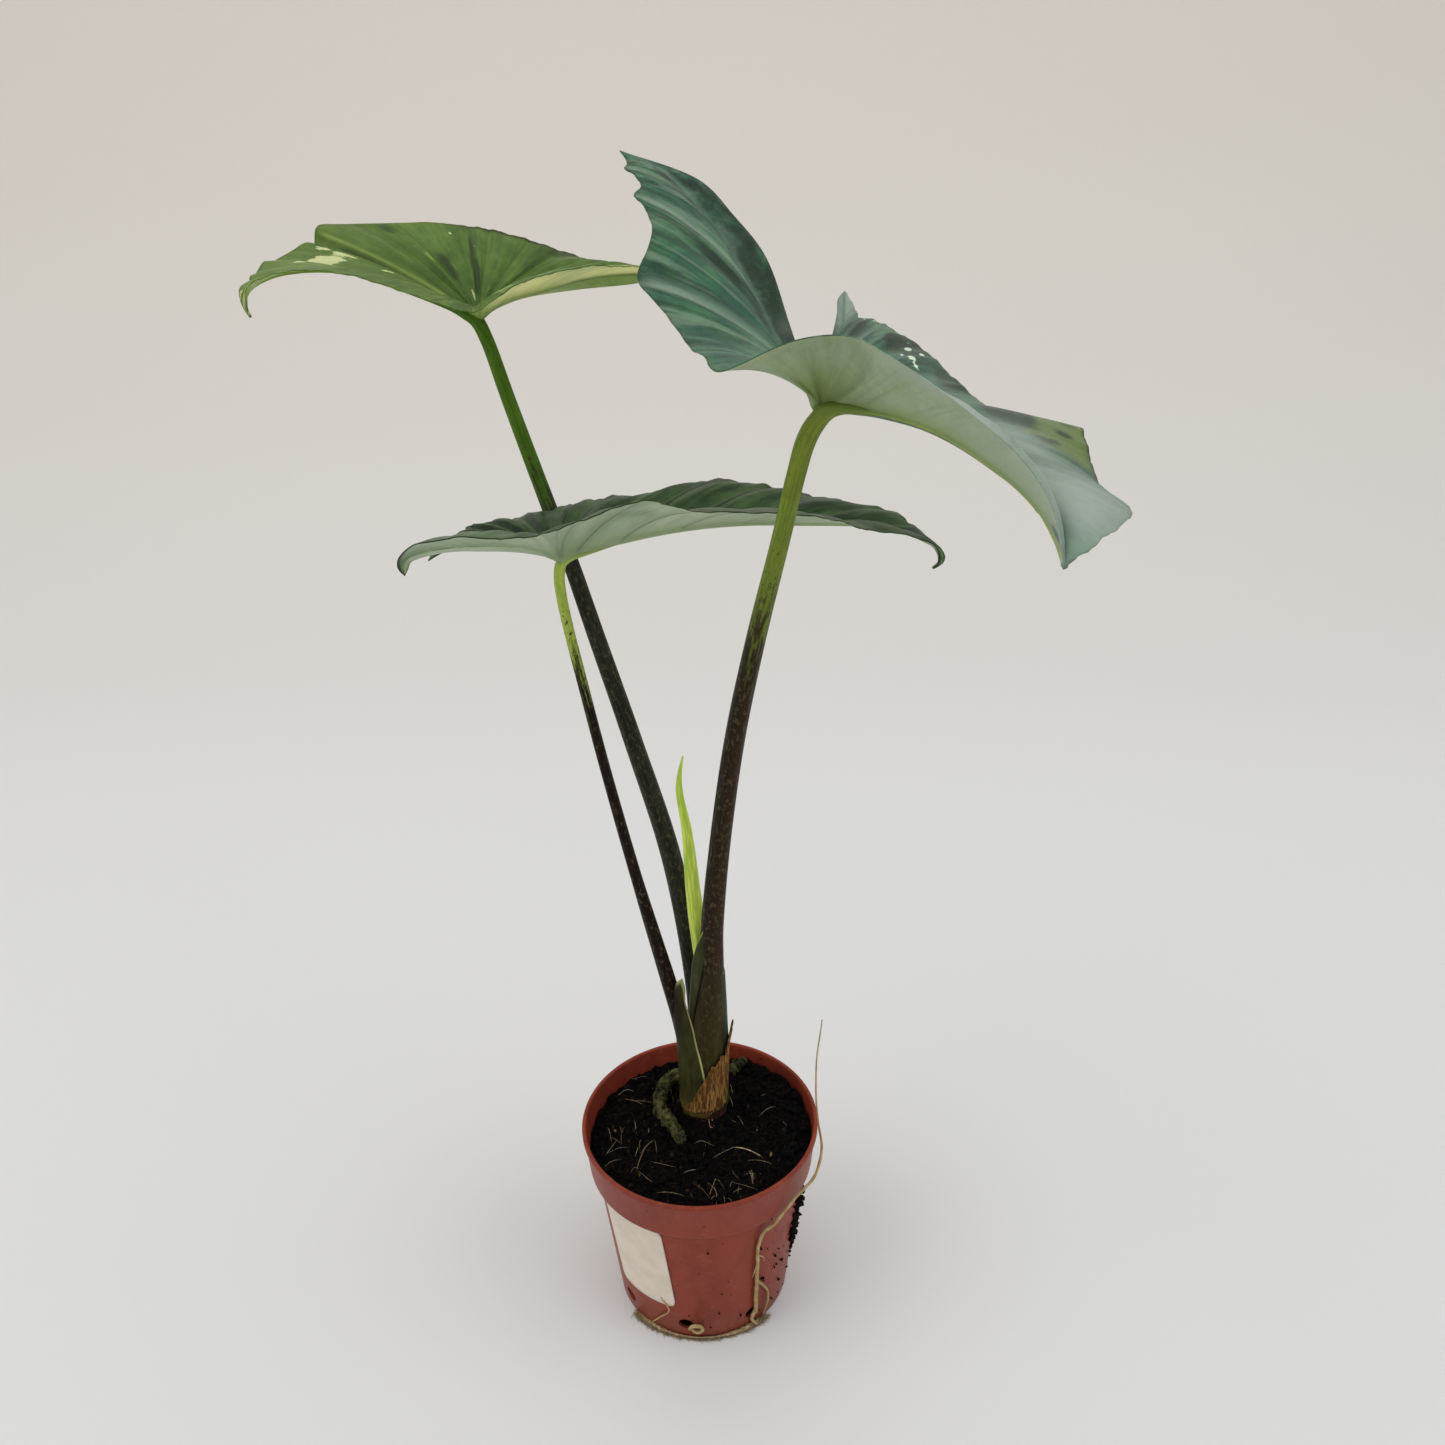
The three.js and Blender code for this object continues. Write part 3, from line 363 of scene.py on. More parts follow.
def by_length(at):
    """The same curve with its parameter in even steps of length."""
    t = np.linspace(0, 1, 401)
    steps = np.linalg.norm(np.diff(at(t), axis=0), axis=1)
    reached = np.concatenate([[0], np.cumsum(steps)]) / steps.sum()
    return lambda u: at(np.interp(np.clip(np.atleast_1d(u), 0, 1), reached, t))


def lattice(x, y, cell, seed):
    """Smooth random height between -1 and 1: corner values of a square lattice, blended by smooth steps."""
    rng = np.random.default_rng(seed)
    table = rng.uniform(-1, 1, (64, 64))
    u, v = np.asarray(x) / cell + 31.5, np.asarray(y) / cell + 17.25
    i, j = np.floor(u).astype(int), np.floor(v).astype(int)
    f, g = smooth(0, 1, u - i), smooth(0, 1, v - j)
    a, b = table[i % 64, j % 64], table[(i + 1) % 64, j % 64]
    c, d = table[i % 64, (j + 1) % 64], table[(i + 1) % 64, (j + 1) % 64]
    return a * (1 - f) * (1 - g) + b * f * (1 - g) + c * (1 - f) * g + d * f * g


def grid_triangles(rows, columns, ring=False):
    """Two triangles for each cell of a grid of rows by columns points, stored row by row; ring joins the last
    column to the first."""
    i, j = np.meshgrid(np.arange(rows - 1), np.arange(columns if ring else columns - 1), indexing="ij")
    a = (i * columns + j).ravel()
    b = (i * columns + (j + 1) % columns).ravel()
    c, d = b + columns, a + columns
    return np.concatenate([np.stack([a, b, c], 1), np.stack([a, c, d], 1)])


def vertex_normals(points, triangles):
    """Unit normals at the points: the sum of the cross products of the triangles that meet there."""
    a, b, c = (points[triangles[:, k]] for k in range(3))
    face = np.cross(b - a, c - a)
    total = np.stack([np.bincount(triangles.ravel(), np.repeat(face[:, k], 3), len(points)) for k in range(3)], 1)
    return unit(total)


def closed_sheet(points, triangles, above, below):
    """Closed sheet: the surface moved along its normals by above and below, joined by a wall on its open edges.
    Returns the points, the triangles, and for each triangle's corners the source point and the side, 1 above."""
    keys = np.round(points * 100).astype(np.int64)
    _, first, slot = np.unique(keys, axis=0, return_index=True, return_inverse=True)
    faces = slot.ravel()[triangles]
    keep = (faces[:, 0] != faces[:, 1]) & (faces[:, 1] != faces[:, 2]) & (faces[:, 2] != faces[:, 0])
    faces, source = faces[keep], triangles[keep]
    middle = points[first]
    normals = vertex_normals(middle, faces)
    count = len(first)
    out = np.vstack([middle + normals * above[first, None], middle - normals * below[first, None]])
    pairs = [(0, 1), (1, 2), (2, 0)]
    start = np.concatenate([faces[:, p] for p, _ in pairs])
    end = np.concatenate([faces[:, q] for _, q in pairs])
    start_source = np.concatenate([source[:, p] for p, _ in pairs])
    end_source = np.concatenate([source[:, q] for _, q in pairs])
    rim = ~np.isin(start * count + end, end * count + start)
    s, e, ss, es = start[rim], end[rim], start_source[rim], end_source[rim]
    walls = np.concatenate([np.stack([s, s + count, e], 1), np.stack([e, s + count, e + count], 1)])
    wall_source = np.concatenate([np.stack([ss, ss, es], 1), np.stack([es, ss, es], 1)])
    every = np.concatenate([faces, faces[:, [0, 2, 1]] + count, walls])
    sources = np.concatenate([source, source[:, [0, 2, 1]], wall_source])
    side = np.concatenate([np.ones(len(faces)), np.zeros(len(faces)), np.ones(len(walls))])
    return out, every, sources, np.repeat(side, 3)


def closed_rings(rings, sides):
    """Triangles of a closed body whose points are rings of sides points and then the middle points of its two
    ends: the grid between the rings and a fan at each end."""
    ring = np.arange(sides)
    after = (ring + 1) % sides
    last, low = (rings - 1) * sides, rings * sides
    return np.concatenate([grid_triangles(rings, sides, True), np.stack([np.full(sides, low), after, ring], 1),
                           np.stack([np.full(sides, low + 1), last + ring, last + after], 1)])


def tube(path, radii, rings, sides, swell=None):
    """Stem of round sections: rings at even lengths along the curve through path, each of the radius read off
    radii (one for each path point, or else at even steps), times 1 + swell(t, angle). The ends are closed by
    fans. Also returns each point's place on the straightened stem."""
    line = by_length(curve(path))
    t = np.linspace(0, 1, rings + 1)
    centre = line(t)
    tangent = unit(line(t + 1e-3) - line(t - 1e-3))
    across = unit(np.cross(np.array([0.3, 1.0, 0.0]), tangent))
    front = np.cross(tangent, across)
    angle = np.linspace(0, 2 * np.pi, sides, endpoint=False)
    marks = np.linspace(0, 1, len(radii))
    if len(radii) == len(path):
        marks = np.append(0, np.cumsum(np.linalg.norm(np.diff(np.asarray(path, float), axis=0), axis=1)))
    radius = np.interp(t, marks / marks[-1], radii)[:, None] * np.ones(sides)
    if swell is not None:
        radius = radius * (1 + swell(t[:, None], angle[None, :]))
    around = across[:, None] * np.cos(angle)[None, :, None] + front[:, None] * np.sin(angle)[None, :, None]
    points = centre[:, None] + around * radius[..., None]
    length = np.linalg.norm(np.diff(centre, axis=0), axis=1).sum()
    straight = np.stack([radius * np.cos(angle), radius * np.sin(angle), t[:, None] * length + 0 * radius], -1)
    points = np.vstack([points.reshape(-1, 3), centre[:1], centre[-1:]])
    straight = np.vstack([straight.reshape(-1, 3), [[0, 0, 0]], [[0, 0, length]]])
    return points, closed_rings(rings + 1, sides), straight


def joined(parts):
    """Several (points, triangles, ...) pieces as one, with their triangles renumbered."""
    offset, triangles = 0, []
    for part in parts:
        triangles.append(part[1] + offset)
        offset += len(part[0])
    rest = [np.vstack([part[k] for part in parts]) for k in range(2, len(parts[0]))]
    return (np.vstack([part[0] for part in parts]), np.concatenate(triangles), *rest)


def make_object(name, points, triangles, corners=None, flat=False):
    """Mesh object from points in millimetres and triangles; corners holds vectors for each triangle corner."""
    mesh = bpy.data.meshes.new(name)
    triangles = np.ascontiguousarray(triangles, np.int32)
    mesh.vertices.add(len(points))
    mesh.vertices.foreach_set("co", (points * MM).astype(np.float32).ravel())
    mesh.loops.add(triangles.size)
    mesh.loops.foreach_set("vertex_index", triangles.ravel())
    mesh.polygons.add(len(triangles))
    mesh.polygons.foreach_set("loop_start", np.arange(0, triangles.size, 3, dtype=np.int32))
    mesh.update(calc_edges=True)
    for key, values in (corners or {}).items():
        layer = mesh.attributes.new(key, "FLOAT_VECTOR", "CORNER")
        layer.data.foreach_set("vector", np.ascontiguousarray(values, np.float32).ravel())
    if not flat:
        mesh.shade_smooth()
    made = bpy.data.objects.new(name, mesh)
    bpy.context.scene.collection.objects.link(made)
    return made


def dress(piece, material, slot, *nodes):
    """Gives a piece its material, puts it on the root body and hides the nodes that it stands for. The slot is not
    used.
    """
    piece.data.materials.append(material)
    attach(piece, "root")
    if nodes:
        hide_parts(*nodes)


# Leaf blades


def crowded(stations, rows):
    """Grid rows along the stations, closer together near each vein: k + s - 0.11 sin(2 pi s)."""
    s = np.linspace(0, 1, rows, endpoint=False)
    inside = s - 0.11 * np.sin(2 * np.pi * s)
    return np.append((np.arange(stations)[:, None] + inside[None, :]).ravel(), stations)


def placed(leaf, points):
    """Leaf points in the object: turned about the vertical by the heading and moved to the stalk."""
    h = math.radians(leaf["heading"])
    x, y, z = points[..., 0], points[..., 1], points[..., 2]
    turned = np.stack([x * math.cos(h) + y * math.sin(h), y * math.cos(h) - x * math.sin(h), z], -1)
    return turned + np.asarray(leaf["stalk"], float)


def patches(leaf, tone, p, w, half):
    """Strength of a tone at leaf places: the largest of the patches' bell-shaped hills."""
    out = np.zeros(p.shape)
    for side, station, across, long, wide, strength in leaf["tones"][tone]:
        hill = strength * np.exp(-((p - station) / long) ** 2 - ((w - across) / wide) ** 2)
        out = np.maximum(out, hill * (side == 0 or side == half))
    return out


def near_stalk(points, reach):
    """1 at the stalk, falling as a bell over reach millimetres."""
    return np.exp(-np.sum(points**2, -1) / reach**2)


def corner_values(p, w, lane, above, below, lines, tones, flush, halo):
    """What each point of a blade carries, in the order that make_blade reads: the sheet's reach above and below,
    its place for the noise, its vein, rib and rim, its four tones, its flush and its halo."""
    lie = [p * LIE_PER_STATION, w * LIE_ACROSS, np.full_like(p, lane)]
    return np.stack([above, below, *lie, *lines, *tones, flush, halo], -1).reshape(p.size, -1)


def half_blade(leaf, side, rows, columns):
    """One half of a blade. A point lies at root + w (edge - root) on the line from a rib to the edge, plus the
    normal times 4w(1 - w) length / 50 times camber and quilting, which is sin^2 between two veins, plus the
    leaf's own bell-shaped swells and two sines that ripple its outer third. The edge is drawn in a little
    between veins by the scallops. A fold shade is painted shade: a dark band 3 mm beside a vein, below its ridge."""
    half, way = leaf[side], WAYS[side]
    spine, rib = by_length(curve(leaf["spine"])), by_length(curve(half["rib"]))
    marks = half.get("marks", np.linspace(0, STATIONS, len(half["edge"])))
    outline = curve(half["edge"], even=True)

    def edge(q):
        """Points of the outline at stations q."""
        return outline(np.interp(q, marks, np.linspace(0, 1, len(marks))))

    # The grid, and the ends of each row's line from rib to edge
    p = crowded(STATIONS, rows)
    s = np.linspace(0, 1, columns + 1)
    w = 1 - (1 - s**1.2) ** 1.15
    stations = np.arange(STATIONS + 1)
    where = np.interp(p, stations, leaf["roots"][side])
    root = np.where((where >= 0)[:, None], spine(where), rib(-where))
    reach = edge(p) - root
    length = np.linalg.norm(reach, axis=1)
    mean = unit(edge(np.minimum(p + 0.7, STATIONS)) - edge(np.maximum(p - 0.7, 0)))
    normal = unit(np.cross(mean, reach) * way)
    between = np.sin(np.pi * p) ** 2
    shrink = np.maximum(length - leaf["scallop"][side] * between, 0) / np.maximum(length, 1e-6)
    grid_p, grid_w = np.meshgrid(p, w, indexing="ij")

    # The surface
    long = length[:, None]
    high = np.minimum(long / 50, 1.3)
    lift = 4 * grid_w * (1 - grid_w) * high * (leaf["camber"] + leaf["quilt"][side] * between[:, None])
    for q, v, dp, dw, tall in leaf.get("swells", {}).get(side, ()):
        lift = lift + tall * grid_w * np.exp(-((grid_p - q) / dp) ** 2 - ((grid_w - v) / dw) ** 2)
    size, first, last = leaf["ripples"][side]
    ripple = size * smooth(0.7, 1, grid_w) * (np.sin(grid_p * 9.7 + way) + 0.6 * np.sin(grid_p * 23.3))
    lift = lift + ripple * smooth(first - 0.5, first + 0.5, grid_p) * smooth(last + 0.5, last - 0.5, grid_p)
    points = root[:, None] + reach[:, None] * (grid_w * shrink[:, None])[..., None] + normal[:, None] * lift[..., None]

    # The lines on it, by their distance in millimetres from the nearest vein, the rib and the edge
    spacing = np.linalg.norm(np.gradient(points, p, axis=0), axis=-1)
    nearest = np.round(p).astype(int)
    beside = (grid_p - np.round(grid_p)) * spacing
    off_vein = np.abs(beside)
    strength = np.array(leaf["veins"][side], float)[nearest][:, None]
    fade = np.minimum(1, long / 25) * smooth(0, 0.06, grid_w) * (1 - smooth(0.9, 1, grid_w)) * strength
    from_rib = grid_w * long
    vein = np.exp(-((off_vein / (0.85 - 0.5 * grid_w)) ** 2)) * fade
    halo = np.exp(-((off_vein / (5.5 - 3 * grid_w)) ** 2)) * fade
    # Fold shades: painted shade, a dark band 3.2 mm to one side of each vein, standing for the shade below its ridge
    folds = np.array(leaf["folds"].get(side, [0] * (STATIONS + 1)), float)[nearest][:, None]
    fold_shade = folds * np.exp(-(((beside + 3.2) / 2.4) ** 2)) * smooth(0.03, 0.2, grid_w) * smooth(0.95, 0.75, grid_w)
    rib_line = np.exp(-((from_rib / RIB_WIDTH) ** 2))
    rim_strength = np.interp(p, stations, leaf["rims"][side])[:, None]
    rim = np.minimum(rim_strength, 1) * smooth(1.3, 0.3, (1 - grid_w) * long / np.maximum(rim_strength, 1))

    # Its colours: the midrib and the stalk flush green
    cream, pale, dark, wash = (patches(leaf, tone, grid_p, grid_w, way) for tone in TONES)
    on_midrib = smooth(-0.02, 0.05, where)[:, None]
    flush = np.maximum(np.exp(-((from_rib / 9) ** 2)) * 0.8 * on_midrib, near_stalk(points, leaf["flush"]))

    # Its thickness: the midrib is thickest at the stalk, and a lobe's rib thins out to the lobe's tip
    main = np.where(where >= 0, 1.5 * (1 - 0.7 * where), 1 + where)[:, None]
    thin = HALF_THICKNESS * (1 - 0.5 * smooth(0.8, 1, grid_w))
    above = thin - VEIN_GROOVE * vein - RIB_GROOVE * rib_line
    below = thin + main * rib_line + VEIN_RIDGE * vein + STALK_SWELL * near_stalk(points, STALK_REACH)
    triangles = grid_triangles(len(p), columns + 1)
    if way > 0:
        triangles = triangles[:, [0, 2, 1]]
    tones = (cream, pale, np.maximum(dark, fold_shade), wash)
    return points.reshape(-1, 3), triangles, corner_values(grid_p, grid_w, HALF_LANE * way, above, below,
                                                           (vein, rib_line, rim), tones, flush, halo)


def inner_strip(leaf, side, rows, columns):
    """Narrow strip of a rear lobe: ruled from its rib to the line along the cleft."""
    half, way = leaf[side], WAYS[side]
    rib, inner = by_length(curve(half["rib"])), by_length(curve(half["inner"]))
    q = np.linspace(0, 1, 8 * rows + 1)
    p = np.interp(-q, leaf["roots"][side][::-1], np.arange(STATIONS + 1)[::-1])
    w = np.linspace(0, 1, columns + 1)
    start, end = rib(q), inner(q)
    grid_p, grid_w = np.meshgrid(p, w, indexing="ij")
    width = np.linalg.norm(end - start, axis=1)[:, None]
    points = start[:, None] + (end - start)[:, None] * grid_w[..., None]
    rib_line = np.exp(-((grid_w * width / RIB_WIDTH) ** 2))
    cross = 0.15 * np.exp(-(((grid_p * 2 - np.round(grid_p * 2)) / 0.1) ** 2)) * smooth(0, 0.1, grid_w)
    rim_strength = np.interp(p, np.arange(STATIONS + 1), leaf["rims"][side])[:, None]
    rim = np.minimum(rim_strength, 1) * smooth(1.3, 0.3, (1 - grid_w) * width)
    tones = [patches(leaf, tone, grid_p, grid_w, 2 * way) for tone in TONES]
    flush = np.maximum(np.exp(-((grid_w * width / 9) ** 2)) * 0.5, near_stalk(points, leaf["flush"]))
    thin = HALF_THICKNESS * (1 - 0.5 * smooth(0.7, 1, grid_w))
    above = thin - RIB_GROOVE * rib_line
    below = thin + (1 - q)[:, None] * rib_line + STALK_SWELL * near_stalk(points, STALK_REACH)
    triangles = grid_triangles(len(p), columns + 1)
    if way < 0:
        triangles = triangles[:, [0, 2, 1]]
    return points.reshape(-1, 3), triangles, corner_values(grid_p, grid_w, STRIP_LANE * way, above, below,
                                                           (cross, rib_line, rim), tones, flush, np.zeros_like(flush))


def make_blade(name, leaf, settings):
    """Whole blade of both halves and both lobes, as a closed sheet with its lines and tones on the corners."""
    parts = [make(leaf, side, settings.rows, count)
             for make, count in ((half_blade, settings.columns), (inner_strip, STRIP_COLUMNS))
             for side in ("right", "left")]
    points, triangles, values = joined(parts)
    points = placed(leaf, points)
    out, faces, source, side = closed_sheet(points, triangles, values[:, 0], values[:, 1])
    corner = values[source.ravel()]
    corners = {"leaf_place": corner[:, 2:5], "leaf_lines": corner[:, 5:8], "leaf_tone": corner[:, 8:11],
               "leaf_more": corner[:, 11:14], "leaf_side": np.stack([side, side, side], 1)}
    return make_object(name, out, faces, corners)


# Materials


def put(tree, kind, inputs=None, out=0, **settings):
    """Adds a shader node with its settings and with its inputs set or joined, and returns one of its outputs."""
    node = tree.nodes.new("ShaderNode" + kind)
    for key, value in settings.items():
        setattr(node, key, value)
    for key, value in (inputs or {}).items():
        if isinstance(value, bpy.types.NodeSocket):
            tree.links.new(value, node.inputs[key])
        else:
            node.inputs[key].default_value = rgba(value) if isinstance(value, str) else value
    return node if out is None else node.outputs[out]


def painted(tree, base, *layers):
    """Base colour under layers of paint. A layer is a mask, its strength (a number or a second mask) and a
    colour."""
    for mask, strength, colour in layers:
        share = put(tree, "Math", {0: mask, 1: strength}, operation="MULTIPLY")
        base = put(tree, "Mix", {0: share, 6: base, 7: colour}, 2, data_type="RGBA")
    return base


def clouds(tree, place, size, low, high, detail=4.0, rough=0.6):
    """Share from 0 to 1 by cloudy noise whose lumps are size millimetres, cut between low and high."""
    scale = 1000 / size
    noise = put(tree, "TexNoise", {"Vector": place, "Scale": scale, "Detail": detail, "Roughness": rough})
    return put(tree, "MapRange", {0: noise, 1: low, 2: high}, interpolation_type="SMOOTHSTEP")


def reading(tree, name):
    """The three numbers that a piece holds under a name at its corners."""
    vector = put(tree, "Attribute", None, 1, attribute_name=name)
    parts = put(tree, "SeparateXYZ", {0: vector}, None).outputs
    return vector, parts[0], parts[1], parts[2]


def new_material(name, specular):
    """Empty material with a Principled shader; returns it, its tree, its shader and Object coordinates."""
    material = bpy.data.materials.new(name)
    material.use_nodes = True
    tree = material.node_tree
    tree.nodes.clear()
    shader = put(tree, "BsdfPrincipled", None, None)
    shader.inputs["Specular IOR Level"].default_value = specular
    put(tree, "OutputMaterial", {0: shader.outputs[0]}, None)
    place = put(tree, "TexCoord", None, 3)
    return material, tree, shader, place


def let_light_in(shader, weight):
    """Makes living tissue a little translucent: light wanders 2 mm in it, less of it blue."""
    shader.inputs["Subsurface Weight"].default_value = weight
    shader.inputs["Subsurface Radius"].default_value = (1.0, 1.0, 0.3)
    shader.inputs["Subsurface Scale"].default_value = 2.0 * MM


def stretched(tree, place, shrink):
    """Coordinates for a pattern that is drawn out along the third axis, 1 / shrink times as long as wide."""
    return put(tree, "Mapping", {"Vector": place, "Scale": (1, 1, shrink)})


def along_stem(tree, straight, shrink):
    """The same on a straightened stem, whose place is held in millimetres and is turned to metres here."""
    return put(tree, "Mapping", {"Vector": straight, "Scale": (MM, MM, shrink * MM)})


def finish(tree, shader, colour, rough, height, depth, reach):
    """Joins a colour, a roughness from low to high by the height's share, and a bump of reach millimetres."""
    tree.links.new(colour, shader.inputs["Base Color"])
    spread = put(tree, "MapRange", {0: height, 3: rough[0], 4: rough[1]})
    tree.links.new(spread, shader.inputs["Roughness"])
    bump = put(tree, "Bump", {"Height": height, "Strength": depth, "Distance": reach * MM})
    tree.links.new(bump, shader.inputs["Normal"])


def leaf_skin(name, look):
    """Living leaf of an aroid, grown with a thin coat of wax. It looks dark and satin above, paler and duller with
    a cold bloom below, and glows a little where light comes through. Veins, rim, patches and washes are read from
    the blade; noise makes their borders ragged, as variegation is."""
    material, tree, shader, place = new_material(name, 0.12)
    let_light_in(shader, look["glow"])
    lie = reading(tree, "leaf_place")[0]
    _, vein, rib, rim = reading(tree, "leaf_lines")
    _, cream, pale, dark = reading(tree, "leaf_tone")
    _, wash, flush, halo = reading(tree, "leaf_more")
    face = reading(tree, "leaf_side")[1]
    # Borders of the patches: lumps 0.4 of the way between two veins, some 6 mm, and half of the way from rib to
    # edge, some 25 mm. Clouds of 25 mm and mottle of 5 mm. Pores are too fine to show, so they are drawn 0.7 mm
    sector = put(tree, "TexNoise", {"Vector": lie, "Scale": 1.5, "Detail": 6.0, "Roughness": 0.65})
    wide = clouds(tree, place, 25, 0.36, 0.64)
    mottle = clouds(tree, place, 5, 0.35, 0.65)
    # Streaks from rib to edge: a sixth of the way between two veins wide, some 2.5 mm, and 30 mm long
    along = put(tree, "Mapping", {"Vector": lie, "Scale": (0.0036, 0.0013, 0.001)})
    elsewhere = put(tree, "Mapping", {"Vector": along, "Location": (0.4, 0.7, 0)})
    streak = clouds(tree, along, 1, 0.44, 0.62, 5.0, 0.6)
    gleam = clouds(tree, elsewhere, 1, 0.48, 0.64, 5.0, 0.6)
    pores = clouds(tree, place, 0.7, 0.3, 0.7, 2.0)
    ragged = put(tree, "Math", {0: sector, 1: 0.5}, operation="SUBTRACT")
    masks = []
    for tone, swing, low, high in ((cream, 1.9, 0.5, 0.56), (pale, 1.3, 0.45, 0.62), (dark, 0.9, 0.3, 0.7)):
        tone = put(tree, "Math", {0: ragged, 1: swing, 2: tone}, operation="MULTIPLY_ADD")
        masks.append(put(tree, "MapRange", {0: tone, 1: low, 2: high}, interpolation_type="SMOOTHSTEP"))
    creamy, paler, murk = masks
    # Murk above and the dark tone below paint dark mottles and also painted shade: the fold shades beside the veins and
    # the shaded patches named in the leaf tables
    upper = painted(tree, look["upper"], (wide, 1.0, look["second"]), (mottle, 0.45, look["third"]),
                    (streak, look["streak"], look["shade"]), (gleam, look["gleam"], look["vein"]),
                    (paler, 0.85, look["pale"]), (murk, 0.9, look["shade"]), (halo, look["halo"], look["vein"]),
                    (wash, 1.0, look["wash"]), (creamy, 1.0, look["cream"]), (vein, look["veins"], look["vein"]),
                    (rib, 0.7, look["rib"]), (rim, 1.0, look["rim"]))
    under = painted(tree, look["under"], (wide, 1.0, look["under_second"]), (mottle, 0.35, look["under_third"]),
                    (streak, 0.22, look["under_shade"]), (gleam, 0.3, look["under_wash"]),
                    (flush, 0.9, look["flush"]), (dark, 0.9, look["under_shade"]), (pale, 0.85, look["under_pale"]),
                    (wash, 1.0, look["under_wash"]), (halo, 0.3, look["under_vein"]),
                    (vein, 0.6, look["under_vein"]), (rib, 0.6, look["under_rib"]), (rim, 1.0, look["rim"]))
    colour = put(tree, "Mix", {0: face, 6: under, 7: upper}, 2, data_type="RGBA")
    grain = put(tree, "Math", {0: mottle, 1: 0.4, 2: pores}, operation="MULTIPLY_ADD")
    finish(tree, shader, colour, (0.34, 0.46), grain, 0.18, 0.25)
    return material


def stalk_skin(name, dark, second, top, top_second, band, level, rib):
    """Living leaf stalk, grown smooth and fleshy with fibres along it. It looks satin, dark below and green above,
    with streaks and freckles and a brown band. Above level, in millimetres, it takes the colour of the midrib that
    it runs on into."""
    material, tree, shader, place = new_material(name, 0.06)
    straight = reading(tree, "stem_place")[0]
    _, green, side, foot = reading(tree, "stem_tone")
    # Streaks 1.2 mm wide and 17 mm long, freckles of 1.6 by 3.2 mm
    streak = clouds(tree, along_stem(tree, straight, 0.07), 1.2, 0.36, 0.66, 4.0, 0.65)
    freckle = clouds(tree, along_stem(tree, straight, 0.5), 1.6, 0.52, 0.66, 3.0, 0.7)
    edge = put(tree, "Math", {0: streak, 1: 0.35, 2: green}, operation="MULTIPLY_ADD")
    edge = put(tree, "Math", {0: freckle, 1: -0.3, 2: edge}, operation="MULTIPLY_ADD")
    share = put(tree, "MapRange", {0: edge, 1: 0.35, 2: 0.75}, interpolation_type="SMOOTHSTEP")
    low = painted(tree, dark, (streak, 1.0, second), (side, streak, band), (freckle, 0.3, "7a6c50"))
    high = painted(tree, top, (streak, 1.0, top_second), (freckle, 0.25, "3f4a22"))
    height = put(tree, "SeparateXYZ", {0: place}, 2)
    upper = put(tree, "MapRange", {0: height, 1: (level - 4) * MM, 2: (level + 3) * MM})
    colour = painted(tree, low, (share, 1.0, high), (foot, 0.75, "4f4a26"), (foot, streak, "33261a"),
                     (upper, 0.9, rib))
    finish(tree, shader, colour, (0.36, 0.5), streak, 0.25, 0.3)
    return material


def sheath_skin(name, base, second, foot, margin):
    """Living sheath, the thin wing of a leaf stalk. It looks satin and mottled lengthways, yellower at its foot,
    dark like the stalk where it clasps it, with a pale thin margin."""
    material, tree, shader, place = new_material(name, 0.08)
    _, clasp, low, rim = reading(tree, "sheet_place")
    # Mottle 3.5 mm wide and 14 mm long, specks of 1.4 mm
    mottle = clouds(tree, stretched(tree, place, 0.25), 3.5, 0.36, 0.64, 5.0, 0.65)
    speck = clouds(tree, place, 1.4, 0.55, 0.68, 3.0, 0.7)
    colour = painted(tree, base, (mottle, 1.0, second), (low, 0.9, foot), (speck, 0.55, "2c2618"),
                     (clasp, 1.0, "2b2419"), (rim, 1.0, margin))
    finish(tree, shader, colour, (0.38, 0.5), mottle, 0.25, 0.3)
    return material


def young_skin(name):
    """Young leaf, still rolled and not yet hardened. It looks soft, waxy and yellow-green, lets light through, and
    has darker veins along it and a greener tip."""
    material, tree, shader, _ = new_material(name, 0.2)
    let_light_in(shader, 0.4)
    straight, _, _, along = reading(tree, "stem_place")
    # Veins 1.1 mm wide and 18 mm long; the tip begins 85 mm up
    vein = clouds(tree, along_stem(tree, straight, 0.06), 1.1, 0.42, 0.6, 2.0, 0.5)
    tip = put(tree, "MapRange", {0: along, 1: 85.0, 2: 130.0})
    colour = painted(tree, "dcea66", (vein, 1.0, "b4cf4e"), (tip, 0.7, "a9c752"))
    finish(tree, shader, colour, (0.4, 0.5), vein, 0.3, 0.3)
    return material


def paper_skin(name):
    """Dry sheath, withered to a brown paper. It looks matt and fibrous, gold and dark brown, with rusty stains."""
    material, tree, shader, place = new_material(name, 0.1)
    # Real fibres of 0.2 mm are too fine to show, so they are drawn 0.9 mm wide and 9 mm long, in bundles of 2.6
    # by 26 mm; stains of 9 mm
    long = stretched(tree, place, 0.1)
    fibre = clouds(tree, long, 0.9, 0.42, 0.58, 4.0, 0.7)
    thick = clouds(tree, long, 2.6, 0.4, 0.6, 3.0, 0.6)
    stain = clouds(tree, place, 9, 0.5, 0.66)
    colour = painted(tree, "4a3016", (fibre, 1.0, "b88a4c"), (thick, 0.45, "7a5026"), (stain, 0.4, "7d4026"))
    finish(tree, shader, colour, (0.7, 0.85), fibre, 0.9, 0.5)
    return material


